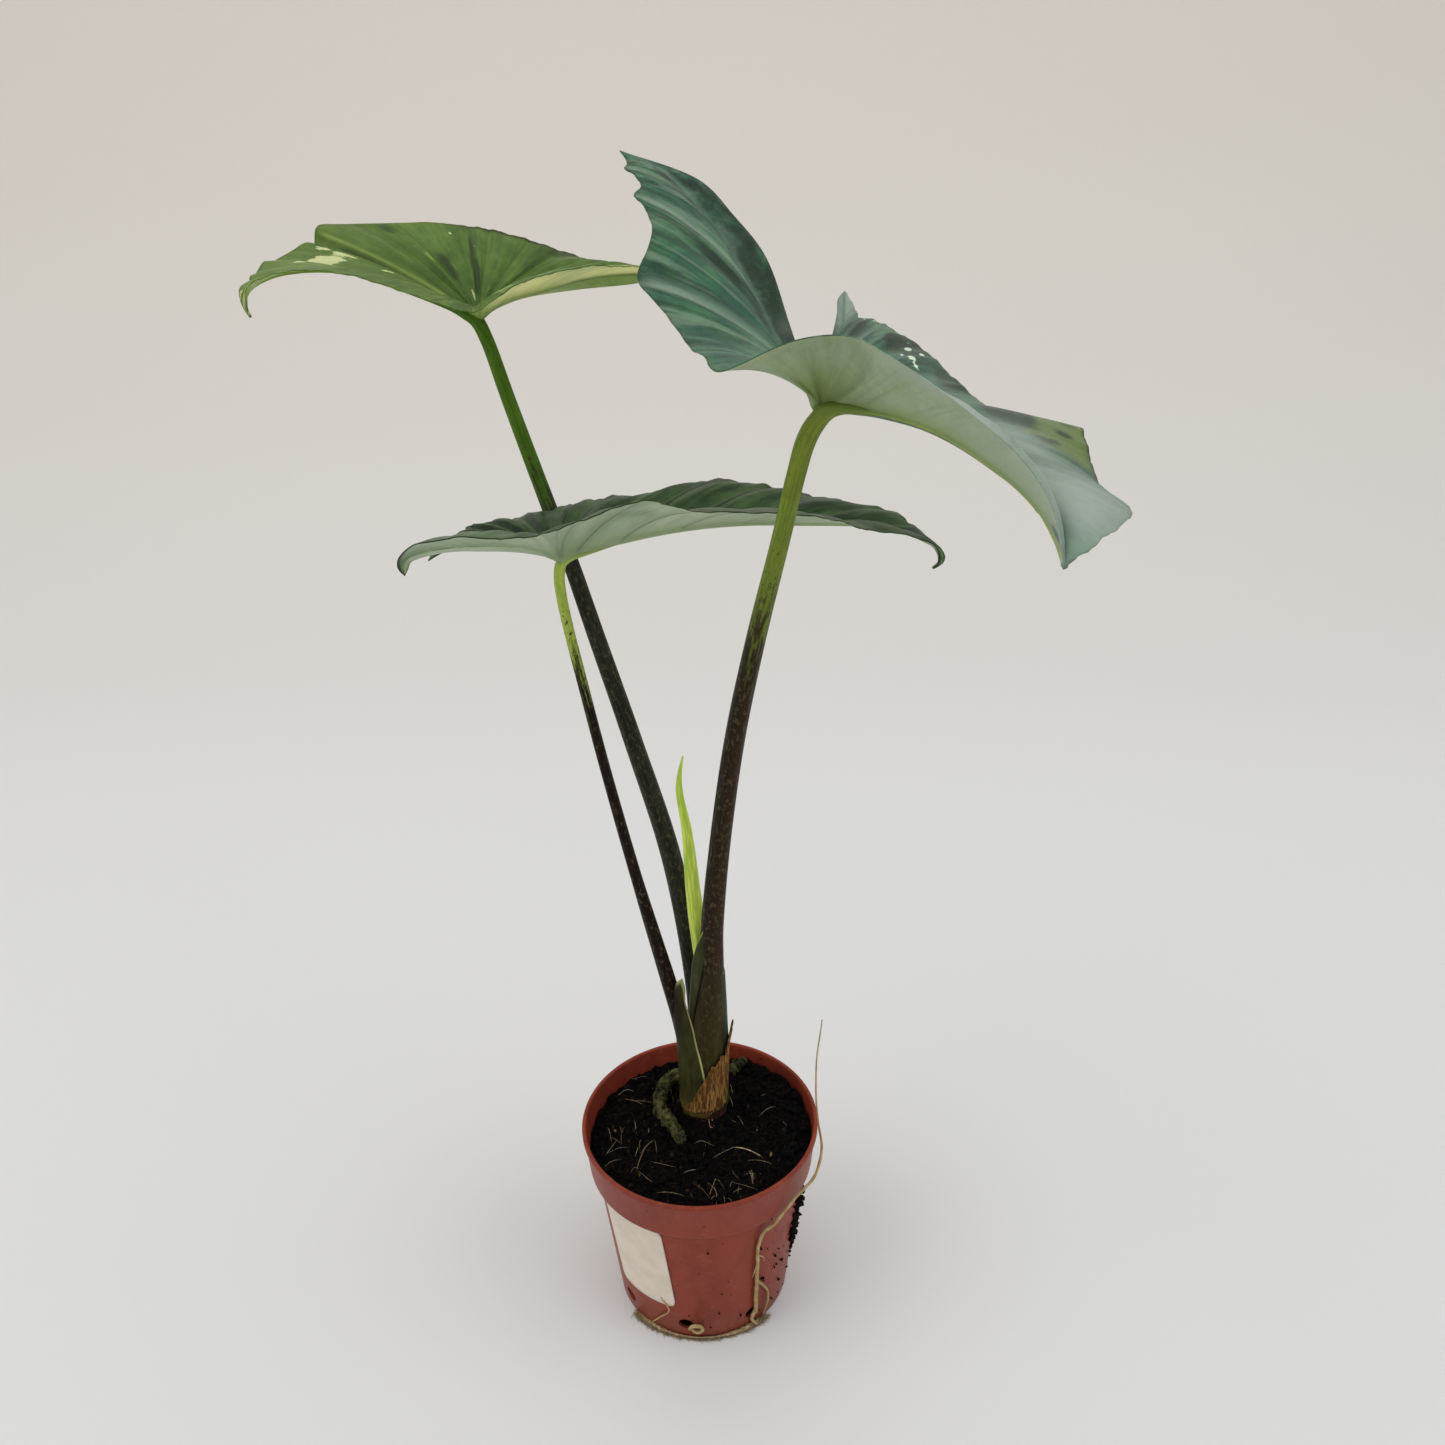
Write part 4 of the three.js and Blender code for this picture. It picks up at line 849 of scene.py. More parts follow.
def plastic_skin(name, plastic):
    """Polypropylene, injection-moulded in a fine-grained mould. It looks satin and even, with faint scuffs, a dusty
    foot and specks of soil."""
    material, tree, shader, place = new_material(name, 0.18)
    # Scuffs 14 mm wide and 35 mm high, dust in clouds of 6 mm. The mould's grain of 0.1 mm is too fine to show, so
    # it is drawn 0.6 mm wide
    scuff = clouds(tree, stretched(tree, place, 0.4), 14, 0.35, 0.7, 5.0, 0.65)
    dust = clouds(tree, place, 6, 0.52, 0.72, 6.0, 0.7)
    grain = clouds(tree, place, 0.6, 0.3, 0.7, 2.0, 0.5)
    # Specks 1 mm across and 4.3 mm apart, in patches of 28 mm; the dusty foot ends 22 mm up
    speck = put(tree, "TexVoronoi", {"Vector": place, "Scale": 230.0})
    speck = put(tree, "MapRange", {0: speck, 1: 0.17, 2: 0.1}, interpolation_type="SMOOTHSTEP")
    some = clouds(tree, place, 28, 0.52, 0.62, 2.0)
    height = put(tree, "SeparateXYZ", {0: place}, 2)
    foot = put(tree, "MapRange", {0: height, 1: 22 * MM, 2: 0.0})
    colour = painted(tree, plastic, (scuff, 1.0, "7e3323"), (dust, 0.12, "b08472"), (speck, some, "2e1a14"),
                     (foot, 0.3, "7d5d49"))
    finish(tree, shader, colour, (0.34, 0.46), grain, 0.1, 0.15)
    return material


def sticker_skin(name, white):
    """Label paper under a satin film, stuck on by hand. It looks near white, with the faintest unevenness, in
    clouds of 14 mm."""
    material, tree, shader, place = new_material(name, 0.25)
    cloud = clouds(tree, place, 14, 0.3, 0.7)
    finish(tree, shader, painted(tree, white, (cloud, 1.0, "dccdbb")), (0.42, 0.5), cloud, 0.1, 0.2)
    return material


def grit_skin(name, base, second, third, size, relief):
    """Peat, bark, moss, root or dry fibre, all grown or crumbled and none of it worked. It looks matt and rough, of
    three tones: two in lumps of size millimetres and a third in flecks a quarter as wide."""
    material, tree, shader, place = new_material(name, 0.1)
    coarse = clouds(tree, place, size, 0.38, 0.62, 5.0, 0.7)
    fine = clouds(tree, place, size / 4, 0.56, 0.7, 4.0, 0.7)
    colour = painted(tree, base, (coarse, 1.0, second), (fine, 0.6, third))
    height = put(tree, "Math", {0: fine, 1: 0.6, 2: coarse}, operation="MULTIPLY_ADD")
    finish(tree, shader, colour, (0.85, 0.95), height, 0.9, relief)
    return material


def floor_skin(name, floor, wall):
    """Board painted with matt emulsion by roller. It looks even and dull, cool on the floor and warmer up the wall,
    in clouds of 400 mm."""
    material, tree, shader, place = new_material(name, 0.2)
    depth = put(tree, "SeparateXYZ", {0: place}, 1)
    share = put(tree, "MapRange", {0: depth, 1: 0.5, 2: 1.6})
    cloud = clouds(tree, place, 400, 0.3, 0.7)
    finish(tree, shader, painted(tree, floor, (share, 1.0, wall)), (0.75, 0.85), cloud, 0.0, 0.1)
    return material


# Looks of the three leaves. A look has sRGB colours above and below and the strengths of halo, veins, streaks,
# gleam and glow. A patch is its half (1 right, -1 left, doubled for the strip along the cleft, 0 for all), its
# station, its share across, its two widths and its strength. Veins and rims have a strength at each station, roots
# a place on the rib at each station, and a swell is its station, its share across, its two widths and its height
FRONT_LEAF["look"] = {
    "upper": "31594a", "second": "46754f", "third": "254a40", "shade": "12281d", "vein": "879a86", "rib": "6d8272",
    "pale": "64763a", "wash": "9aa79d", "cream": "cfe0c8", "rim": "33362a", "halo": 0.62, "veins": 0.15,
    "streak": 0.6, "gleam": 0.38, "glow": 0.3,
    "under": "98a982", "under_second": "a3b28c", "under_third": "869870", "flush": "84953e", "under_shade": "5f7648",
    "under_pale": "a9b898", "under_wash": "a9b5a8", "under_vein": "a3b18e", "under_rib": "84953e",
}
FRONT_LEAF["tones"] = {
    "cream": [(-1, 11.6, 0.92, 0.2, 0.07, 0.95), (-1, 10.9, 0.88, 0.25, 0.05, 1.0), (-1, 10.4, 0.92, 0.12, 0.06, 1.0),
              (-1, 9.05, 0.79, 0.09, 0.05, 0.85), (-1, 8.85, 0.88, 0.07, 0.03, 0.85), (-1, 8.7, 0.73, 0.14, 0.035, 0.8),
              (-1, 9.2, 0.86, 0.05, 0.025, 0.85), (-1, 8.4, 0.7, 0.2, 0.04, 0.8), (-1, 8.9, 0.68, 0.1, 0.03, 0.7)],
    "pale": [(-1, 4.1, 0.88, 1.15, 0.36, 1.0), (1, 9.6, 0.5, 0.35, 0.4, 0.42)],
    # Of the dark patches, (1, 7, 0.05, 3.2, 0.2, 0.5) is painted shade on the blade where it meets the stalk
    "dark": [(-1, 4.45, 0.62, 0.5, 0.14, 1.4), (-1, 5.4, 0.8, 0.4, 0.2, 0.9), (-1, 4.2, 0.88, 0.16, 0.07, 0.75),
             (-1, 3.75, 0.8, 0.14, 0.06, 0.7), (-1, 4.7, 0.92, 0.12, 0.06, 0.7), (-1, 9.2, 0.8, 0.35, 0.2, 1.4),
             (-1, 10.4, 0.6, 0.5, 0.35, 0.8), (-1, 8.1, 0.9, 0.4, 0.12, 0.9), (-1, 11, 0.6, 0.5, 0.5, 0.7),
             (-1, 7.0, 0.85, 0.3, 0.2, 0.7), (1, 7, 0.05, 3.2, 0.2, 0.5), (-1, 3.6, 0.72, 0.25, 0.1, 0.7),
             (2, 11, 0.6, 4.0, 1.2, 0.7), (1, 11.2, 0.15, 1.0, 0.14, 0.6), (1, 11.3, 0.45, 0.35, 0.4, 0.7),
             (1, 13, 0.3, 0.7, 0.3, 0.6), (1, 8.8, 0.5, 0.3, 0.3, 0.6)],
    "wash": [(-1, 7.2, 0.55, 0.8, 0.3, 0.5), (-1, 5.9, 0.5, 1.3, 0.33, 0.75), (-1, 1.3, 0.6, 1.4, 0.7, 0.9),
             (-1, 3.1, 0.5, 1.0, 0.25, 0.7), (1, 8.5, 0.5, 0.5, 0.4, 0.35), (1, 1.0, 0.6, 2.2, 0.8, 0.8),
             (1, 3.6, 0.95, 2.0, 0.35, 0.9), (-1, 13.6, 0.5, 1.0, 2.0, 0.75), (-2, 13.6, 0.5, 1.2, 2.0, 0.7),
             (2, 11.1, 0.7, 0.18, 0.5, 0.16), (1, 9.1, 0.3, 0.5, 0.25, 0.35)],
}
FRONT_LEAF["veins"] = {"right": [0, 0.2, 0.2, 0.2, 0.2, 0.2, 0.1, 0, 0.15, 0.15, 1, 0.1, 1, 0.5, 0],
                       "left": [0, 0.3, 0.3, 0.3, 0.1, 0.2, 0.3, 0.35, 0.4, 0.4, 0.4, 0.3, 0.3, 0.2, 0]}
FRONT_LEAF["rims"] = {"right": [0, 0, 0, 0, 0, 0, 0, 0.1, 0.3, 0.3, 0.3, 0.3, 0.3, 0.3, 0.3],
                      "left": [0, 0, 0.2, 1, 1, 1, 0.2, 0.1, 0.2, 0.3, 0.3, 0.3, 0.3, 0.2, 0.2]}
FRONT_LEAF["roots"] = {"right": [1, 0.78, 0.56, 0.36, 0.18, 0.04, 0, 0, 0, -0.03, -0.08, -0.22, -0.39, -0.72, -1],
                       "left": [1, 0.78, 0.58, 0.4, 0.24, 0.1, 0.02, 0, -0.02, -0.1, -0.26, -0.42, -0.58, -0.78, -1]}
FRONT_LEAF["swells"] = {"left": [(6.2, 0.62, 1.5, 0.45, -8.5)], "right": [(11.4, 0.5, 0.9, 0.3, -1.5)]}

TALL_LEAF["look"] = {
    "upper": "4f6a2c", "second": "5f7a36", "third": "435c2b", "shade": "2d401f", "vein": "a9bc68", "rib": "8da34c",
    "pale": "8ba056", "wash": "7d8f58", "cream": "c6c994", "rim": "2c281d", "halo": 0.05, "veins": 0.7,
    "streak": 0.3, "gleam": 0.06, "glow": 0.45,
    "under": "8ba652", "under_second": "98b05e", "under_third": "7f9a48", "flush": "7f9e3a", "under_shade": "5f7c3a",
    # under_pale is partly the cream of the lobe below and partly painted light: near white, for the light that shines
    # through the leaf
    "under_pale": "fdfab4", "under_wash": "c0c98a", "under_vein": "a8bb64", "under_rib": "5f7f34",
}
TALL_LEAF["tones"] = {
    "cream": [(1, 2.45, 0.66, 0.45, 0.16, 0.68), (1, 1.9, 0.62, 0.4, 0.14, 0.62), (1, 2.75, 0.86, 0.2, 0.12, 0.62),
              (1, 2.6, 0.35, 0.2, 0.05, 0.62), (1, 5.75, 0.85, 0.22, 0.06, 0.62), (1, 6.25, 0.7, 0.2, 0.05, 0.58),
              (1, 5.8, 0.17, 0.14, 0.08, 1.0), (0, 0.3, 0.5, 0.7, 1.0, 0.6)],
    "pale": [(1, 4.6, 0.55, 0.25, 0.14, 0.62), (1, 5.3, 0.45, 0.2, 0.12, 0.6), (1, 7.4, 0.25, 0.3, 0.15, 0.55),
             (1, 4.3, 0.8, 0.3, 0.1, 0.55), (-1, 12.4, 0.6, 2.4, 0.9, 1.1), (-1, 9.3, 0.35, 1.6, 0.4, 1.1),
             (-1, 8, 0.5, 0.6, 0.5, 0.9)],
    # Of the dark patches, those at stations 6.15 and 6.35 of the right half are painted shade in the crease by the
    # stalk
    "dark": [(1, 5.1, 0.45, 0.35, 0.2, 0.85), (1, 6.35, 0.35, 0.35, 0.3, 0.95), (1, 6.15, 0.65, 0.25, 0.5, 0.7),
             (1, 10.5, 0.6, 1.6, 0.6, 0.5), (1, 4.4, 0.9, 0.3, 0.15, 0.6), (1, 9, 0.9, 0.8, 0.2, 0.7),
             (-1, 5.5, 0.4, 1.6, 0.3, 0.3), (-2, 11, 1.0, 4.0, 0.2, 0.5)],
    "wash": [(1, 1.4, 0.3, 1.1, 0.9, 0.7), (1, 0.8, 0.6, 0.9, 0.6, 0.5)],
}
TALL_LEAF["veins"] = {"right": [0, 0.1, 0.2, 0.8, 0.1, 0.1, 0, 0.1, 0.1, 0.2, 0.1, 0.1, 0.1, 0.1, 0],
                      "left": [0, 0.2, 0.2, 0.2, 0.2, 0.2, 0.2, 0.2, 0.3, 0.5, 0.5, 0.5, 0.5, 0.4, 0]}
TALL_LEAF["rims"] = {"right": [0.4, 0.4, 0.5, 0.5, 0.2, 0.1, 1, 2.2, 2.2, 2.2, 2.2, 2.2, 2, 1.6, 1],
                     "left": [0.2, 0.1, 0, 0, 0, 0, 0, 0, 0, 0, 0, 0.1, 0.1, 0.1, 0.1]}
TALL_LEAF["roots"] = {"right": [1, 0.72, 0.38, 0.06, 0, 0, 0, 0, -0.06, -0.2, -0.38, -0.54, -0.7, -0.86, -1],
                      "left": [1, 0.78, 0.56, 0.36, 0.18, 0.06, 0, 0, -0.04, -0.16, -0.32, -0.48, -0.64, -0.82, -1]}

LOW_LEAF["look"] = {
    "upper": "2d4425", "second": "3f5c33", "third": "24381f", "shade": "142313", "vein": "6b8459", "rib": "6b8450",
    "pale": "4a6a42", "wash": "6f876a", "cream": "8fa078", "rim": "232d1f", "halo": 0.2, "veins": 0.5,
    "streak": 0.5, "gleam": 0.2, "glow": 0.3,
    "under": "9fb193", "under_second": "aab99e", "under_third": "8da283", "flush": "9aab78", "under_shade": "567350",
    "under_pale": "b4c4a6", "under_wash": "c2c8b2", "under_vein": "5a7152", "under_rib": "93a37a",
}
LOW_LEAF["tones"] = {
    "cream": [(0, 14, 0.5, 0.3, 0.5, 0.3)],
    "pale": [(-1, 5, 0.4, 1.2, 0.3, 0.3)],
    # Of the dark patches, (1, 13.6, 0.6, 0.8, 0.9, 1.2) is painted shade on the curled tip of the right lobe
    "dark": [(-1, 5, 0.8, 1.2, 0.3, 0.5), (-1, 8, 0.5, 0.5, 0.4, 0.4), (-1, 2.5, 0.5, 1.0, 0.3, 0.5),
             (1, 5.5, 0.6, 0.5, 0.12, 0.45), (1, 13.6, 0.6, 0.8, 0.9, 1.2), (1, 0.6, 0.8, 0.8, 0.4, 0.8)],
    "wash": [(1, 3.4, 0.5, 1.6, 0.6, 0.4), (1, 10, 0.6, 1.6, 0.6, 0.6)],
}
LOW_LEAF["veins"] = {"right": [0, 0.2, 0.3, 0.5, 0.9, 1, 1, 0.8, 0.3, 0.2, 0.2, 0.2, 0.2, 0.1, 0],
                     "left": [0, 0.3, 0.4, 0.5, 0.5, 0.5, 0.5, 0.5, 0.5, 0.5, 0.5, 0.4, 0.3, 0.2, 0]}
LOW_LEAF["rims"] = {"right": [0.3, 0.3, 0.2, 0.1, 0.1, 0.1, 0.3, 0.5, 0.6, 0.8, 0.9, 0.9, 0.9, 0.9, 0.9],
                    "left": [0.7] * 15}
LOW_LEAF["roots"] = {"right": [1, 0.8, 0.62, 0.45, 0.3, 0.15, 0.04, 0, -0.02, -0.12, -0.28, -0.44, -0.6, -0.8, -1],
                     "left": [1, 0.8, 0.62, 0.45, 0.3, 0.15, 0.04, 0, -0.02, -0.12, -0.28, -0.44, -0.6, -0.8, -1]}


class ALOCASIA_OT_blades(bpy.types.Operator):
    """Makes the three leaf blades in place of the plain ones"""

    bl_idname = "alocasia.blades"
    bl_label = "Leaf blades"

    def execute(self, context):
        s = context.scene.alocasia_leaf
        own = {"front": (s.front_upper, s.front_under), "tall": (s.tall_upper, s.tall_under),
               "low": (s.low_upper, s.low_under)}
        for name, leaf in (("front", FRONT_LEAF), ("tall", TALL_LEAF), ("low", LOW_LEAF)):
            blade = make_blade(name + "_leaf_blade", leaf, s)
            look = {**leaf["look"], "upper": rgba(own[name][0][:]), "under": rgba(own[name][1][:])}
            dress(blade, leaf_skin(name + " leaf skin", look), name + "_leaf", name + "_blade")
        return {"FINISHED"}


def make_stem(name, stem, rings, sides, swell=None, tone=None):
    """Stem object with the straightened place of each corner and its three tones, tone(height, degrees round)."""
    points, triangles, straight = tube(stem["path"], stem["radii"], rings, sides, swell)
    corners = {"stem_place": straight[triangles.ravel()]}
    if tone is not None:
        angle = np.degrees(np.arctan2(straight[:, 1], straight[:, 0]))
        tones = np.stack(np.broadcast_arrays(*tone(points[:, 2], angle)), 1)
        corners["stem_tone"] = tones[triangles.ravel()]
    return make_object(name, points, triangles, corners)


def wrap_sheet(levels, columns, table, start, end, flare, top=None):
    """Sheet wrapped part way round a stem. Table rows are height, centre x, centre y, radius, first angle and
    last angle in degrees; between rows they are read straight. flare(u, s) is added to the radius, where u runs
    round and s runs up, and top(u) lowers the upper edge."""
    z_rows = np.array([row[0] for row in table], float)
    u = np.linspace(0, 1, columns + 1)
    s = np.linspace(0, 1, levels + 1)
    grid_s, grid_u = np.meshgrid(s, u, indexing="ij")
    z = start + (end - start) * grid_s
    if top is not None:
        z = start + (top(grid_u) - start) * grid_s
    cx, cy, radius, first, last = (np.interp(z, z_rows, [row[k] for row in table]) for k in range(1, 6))
    angle = np.radians(first + (last - first) * grid_u)
    radius = radius + flare(grid_u, grid_s)
    points = np.stack([cx + radius * np.cos(angle), cy + radius * np.sin(angle), z], -1).reshape(-1, 3)
    lie = np.stack([grid_u, grid_s, np.zeros_like(u + grid_u)], -1).reshape(-1, 3)
    return points, grid_triangles(levels + 1, columns + 1), lie


def make_sheet(name, sheet, half, tones):
    """Closed thin sheet from wrap_sheet; tones(u, s) gives its clasp, low and rim shares."""
    points, triangles, lie = sheet
    tones = np.stack(np.broadcast_arrays(*tones(lie[:, 0], lie[:, 1])), 1)
    thick = half * (1 - 0.5 * tones[:, 2])
    out, faces, source, _ = closed_sheet(points, triangles, thick, thick)
    return make_object(name, out, faces, {"sheet_place": tones[source.ravel()]})


# Sheaths: height, centre x, centre y, radius, first angle, last angle. The paper's torn top is a height at shares
# of the way round
LOW_SHEATH = [(106, 1, 14.5, 10.4, 130, 297), (109, 1, 14.5, 11.2, 130, 297), (115, 1, 14.5, 11.1, 130, 297),
              (133, 0, 14.3, 10.5, 130, 286), (151, -3.8, 14, 7.2, 130, 296), (173, -9.3, 14, 4.5, 130, 325),
              (190, -13.9, 13.7, 3.6, 130, 345)]
LEFT_WING = [(107, 4.5, 15, 9.8, 190, 100), (150, 5, 14, 9.5, 195, 100), (173, 5.9, 12.6, 9.8, 212, 100),
             (197, 7, 11, 9.2, 230, 100), (226, 8.2, 8.2, 6.0, 238, 100)]
RIGHT_WING = [(107, 4.5, 15, 9.9, -36, 85), (150, 5, 14, 9.7, -36, 85), (173, 5.9, 12.6, 8.3, -38, 85),
              (196, 7, 11, 6.5, -45, 85)]
PAPER = [(106, 1.8, 14.5, 11.9, -140, 25), (110, 1.8, 14.5, 12.3, -140, 25), (122, 2.4, 14.5, 12.2, -140, 25),
         (140, 3.9, 14.3, 11.2, -140, 25), (165, 5, 13.6, 10.7, -140, 25)]
PAPER_TOP = ([0, 0.073, 0.12, 0.26, 0.34, 0.497, 0.624, 0.727, 0.788, 0.909, 1],
             [112, 114.5, 117, 130, 137, 142.7, 146, 154, 160, 160, 150])


class ALOCASIA_OT_stalks(bpy.types.Operator):
    """Makes the leaf stalks with their sheaths and the rolled young leaf"""

    bl_idname = "alocasia.stalks"
    bl_label = "Leaf stalks"

    def execute(self, context):
        s = context.scene.alocasia_stalk

        def fluted(t, a):
            """Faint ribs that wind up a stalk: sines with five and thirteen waves round it."""
            return 0.016 * np.sin(5 * a + 9 * t) + 0.01 * np.sin(13 * a - 5 * t)

        def front_tone(z, a):
            """Green share, band round -42 degrees, and foot, which is weaker round -92 degrees."""
            centre = np.exp(-(((a + 92) / 42) ** 2))
            return (smooth(326, 508, z), np.exp(-(((a + 42) / 44) ** 2)) * smooth(470, 400, z),
                    smooth(215, 140, z) * (1 - 0.6 * centre))

        def tall_tone(z, a):
            """The same with a weak band on the side that faces front."""
            return smooth(385, 494, z), 0.25 * (a < 0), smooth(150, 110, z)

        def low_tone(z, a):
            """The same with a weak band all round."""
            return smooth(308, 456, z), np.full_like(z, 0.3), smooth(150, 110, z)

        # Colours: second dark, green, second green, band; then the midrib's height and colour
        for name, stem, rings, tone, own, colours in (
                ("front", FRONT_STALK, 240, front_tone, s.front,
                 ("171009", "7a8a30", "65772c", "3e2a19", 500, "70823a")),
                ("tall", TALL_STALK, 240, tall_tone, s.tall,
                 ("1a1f16", "5c7f26", "49691f", "2c2a20", 505, "4c6f26")),
                ("low", LOW_STALK, 220, low_tone, s.low,
                 ("110c0a", "b2c357", "9fb44a", "2a1c15", 426, "8fa070"))):
            stalk = make_stem(name + "_leaf_stalk", stem, rings, s.sides, fluted, tone)
            dress(stalk, stalk_skin(name + " stalk skin", rgba(own[:]), *colours), "leaf_stalk", name + "_stalk")

        # Sheaths: flare is added to the radius, top is the height of the upper edge, and the tones are the share
        # that clasps the stalk, the yellow foot and the pale margin
        def low_flare(u, v):
            """An ear of 3.2 mm at the upper corner, and two waves of 0.3 mm near the foot."""
            ear = 3.2 * smooth(0.72, 1, u) * smooth(0.8, 0.96, v)
            return ear + 0.3 * np.sin(9 * u + 4 * v) * smooth(0.6, 1, 1 - v) + 0.25 * np.sin(31 * u) * (1 - v) ** 3

        def low_top(u):
            """Highest at the last side and 26 mm lower at the first."""
            return 190 - 26 * smooth(0.93, 0.35, u)

        def low_tones(u, v):
            """Clasps the stalk in its body and its throat; the last side and the upper edge are pale."""
            body = smooth(0.62, 0.18, u) * (0.35 + 0.65 * smooth(0.1, 0.55, v))
            throat = smooth(0.6, 0.85, v) * smooth(0.92, 0.7, u)
            side = smooth(0.975 - 0.06 * v, 0.99 - 0.04 * v, u)
            return (np.maximum(body, throat), smooth(0.22, 0.02, v),
                    np.maximum(side, smooth(0.97, 1, v) * smooth(0.8, 0.92, u)))

        def left_flare(u, v):
            """Stands out by 3 mm at the last side, and is drawn in at the first, more so above."""
            return 3.0 * smooth(0.45, 0.95, u) - (0.5 + 2.2 * smooth(0.35, 0.9, v)) * smooth(0.35, 0.0, u)

        def left_top(u):
            """Falls by 24 mm over the first half and by 10 mm more over the second."""
            return 226 - 24 * smooth(0.1, 0.5, u) - 10 * smooth(0.5, 1, u)

        def left_tones(u, v):
            """Clasps the stalk at the first side; the upper edge is pale."""
            return smooth(0.12, 0.0, u) * smooth(0.9, 0.6, v), smooth(0.6, 0.2, v), smooth(0.975, 0.99, v)

        def right_flare(u, v):
            """A slight wave, drawn in by 0.9 mm at the first side."""
            return 0.2 * np.sin(7 * u) - 0.9 * smooth(0.3, 0, u)

        def right_tones(u, v):
            """As on the left, and the yellow foot is shorter."""
            return smooth(0.2, 0.0, u), smooth(0.5, 0.05, v), smooth(0.98, 0.995, v)

        low = wrap_sheet(90, 80, LOW_SHEATH, 106, 190, low_flare, low_top)
        left = wrap_sheet(70, 48, LEFT_WING, 107, 226, left_flare, left_top)
        right = wrap_sheet(50, 40, RIGHT_WING, 107, 196, right_flare)
        for name, sheet, half, tones, skin, colours in (
                ("low_stalk_sheath", low, 0.32, low_tones, "low sheath skin",
                 ("3f3f1f", "312f19", "6a5a28", "b4b673")),
                ("front_sheath_left", left, 0.3, left_tones, "front sheath skin",
                 ("434726", "33371e", "453e22", "9aa659")),
                ("front_sheath_right", right, 0.3, right_tones, "front sheath skin right",
                 ("2d4236", "33472a", "3b4220", "6f7a48"))):
            dress(make_sheet(name, sheet, half, tones), sheath_skin(skin, *colours), "leaf_stalk")

        def roll(t, a):
            """The roll's free edge winds up the leaf: a bell-shaped ridge and groove on a slightly flat stem."""
            turned = (a - 1.2 - 2.2 * t) % (2 * np.pi)
            ridge = 0.14 * np.exp(-((turned - 3.0) / 0.35) ** 2)
            return ridge - 0.12 * np.exp(-((turned - 3.7) / 0.3) ** 2) + 0.1 * np.cos(2 * a)

        young = make_stem("rolled_young_leaf", NEW_LEAF, 130, 36, roll)
        dress(young, young_skin("young leaf skin"), "young_leaf", "new_leaf")

        def paper_flare(u, v):
            """Pleats of 0.2 mm that grow upwards, a top that curls out and a foot drawn in by 0.5 mm."""
            pleats = 0.2 * np.sin(43 * u) + 0.16 * np.sin(71 * u + 2 * v) + 0.1 * np.sin(123 * u)
            curl = 1.8 * smooth(0.75, 1, v) * smooth(0.5, 0.95, u)
            return pleats * (0.5 + v) * smooth(0, 0.1, u) + curl - 0.5 * smooth(0.1, 0, v)

        def paper_top(u):
            """The table's height with tears, which are three sines of up to 0.5 mm."""
            torn = 0.5 * np.sin(37 * u) + 0.4 * np.sin(79 * u + 1) + 0.25 * np.sin(163 * u)
            return np.interp(u, *PAPER_TOP) + torn * smooth(0.1, 0.3, u)

        def paper_tones(u, v):
            """Nothing clasps; the foot is stained and the torn edge pale."""
            return np.zeros_like(u), smooth(0.15, 0, v), smooth(0.985, 1, v)

        paper = wrap_sheet(60, 220, PAPER, 110, 165, paper_flare, paper_top)
        paper = make_sheet("papery_sheath_fine", paper, 0.24, paper_tones)
        dress(paper, paper_skin("dry sheath skin"), "dry_sheath", "papery_sheath")

        def knotty(t, a):
            """Knots of up to 5 percent, by smooth random heights round and along the stem."""
            return 0.05 * lattice(9 * np.cos(a) + 20 * t, 9 * np.sin(a), 3, 31)

        foot = make_stem("stem_foot", STEM_FOOT, 40, 72, knotty)
        dress(foot, grit_skin("stem foot skin", "36211a", "4a2c1f", "1c1310", 3.0, 0.6), "dry_sheath")
        return {"FINISHED"}


def pot_radius(z):
    """Outer radius of the pot at a height: a cone up to the collar, then a slightly wider cone."""
    z = np.asarray(z, float)
    wall = FOOT_RADIUS + (WALL_TOP_RADIUS - FOOT_RADIUS) * z / COLLAR_FOOT
    up = np.clip((z - COLLAR_FOOT) / COLLAR_HEIGHT, 0, 1)
    return np.where(z < COLLAR_FOOT, wall, COLLAR_FOOT_RADIUS + (RIM_RADIUS - COLLAR_FOOT_RADIUS) * up)


# The pot's section, as radius and height, from the middle of the foot round the rim to the middle of the floor
POT_PROFILE = [
    (0, 0.6), (40, 0.6), (41, 0), (43.4, 0), (44.2, 0.3), (44.5, 1), (44.6, 2), (49, 42), (53.9, 84.8), (54, 86),
    (54.3, 86.2), (56.6, 86.1), (57, 86.4), (57.15, 87.2), (57.3, 88), (58.9, 105.8), (59.1, 106.3),
    (59.7, 106.6), (59.95, 107.1), (60, 109), (59.85, 109.6), (59.4, 109.95), (58.7, 110), (58.2, 109.7),
    (57.95, 109.2), (57.7, 107.5), (55.4, 87.2), (55, 86.6), (52.6, 84.8), (52.4, 84), (43, 3), (42.4, 2.4),
    (0, 2.4),
]
DRAIN_HOLES = 8
DRAIN_HEIGHT = 11.0
DRAIN_RADIUS = 4.0

# The sticker in millimetres and degrees: its foot and height, corner radius, half its thickness and how far its
# middle lies off the wall, its first angle, its width and how far it leans
STICKER_FOOT, STICKER_HEIGHT, STICKER_CORNER = 25, 59, 4
STICKER_HALF, STICKER_OFF = 0.28, 0.42
STICKER_START, STICKER_SPAN, STICKER_LEAN = -151, 42, 4.5


def cutter(name, angle):
    """Round bar that pierces the pot's wall at a drain hole."""
    path = [[math.cos(angle) * r, math.sin(angle) * r, DRAIN_HEIGHT] for r in (38, 45, 52)]
    points, triangles, _ = tube(path, [DRAIN_RADIUS, DRAIN_RADIUS], 4, 28)
    return make_object(name, points, triangles)


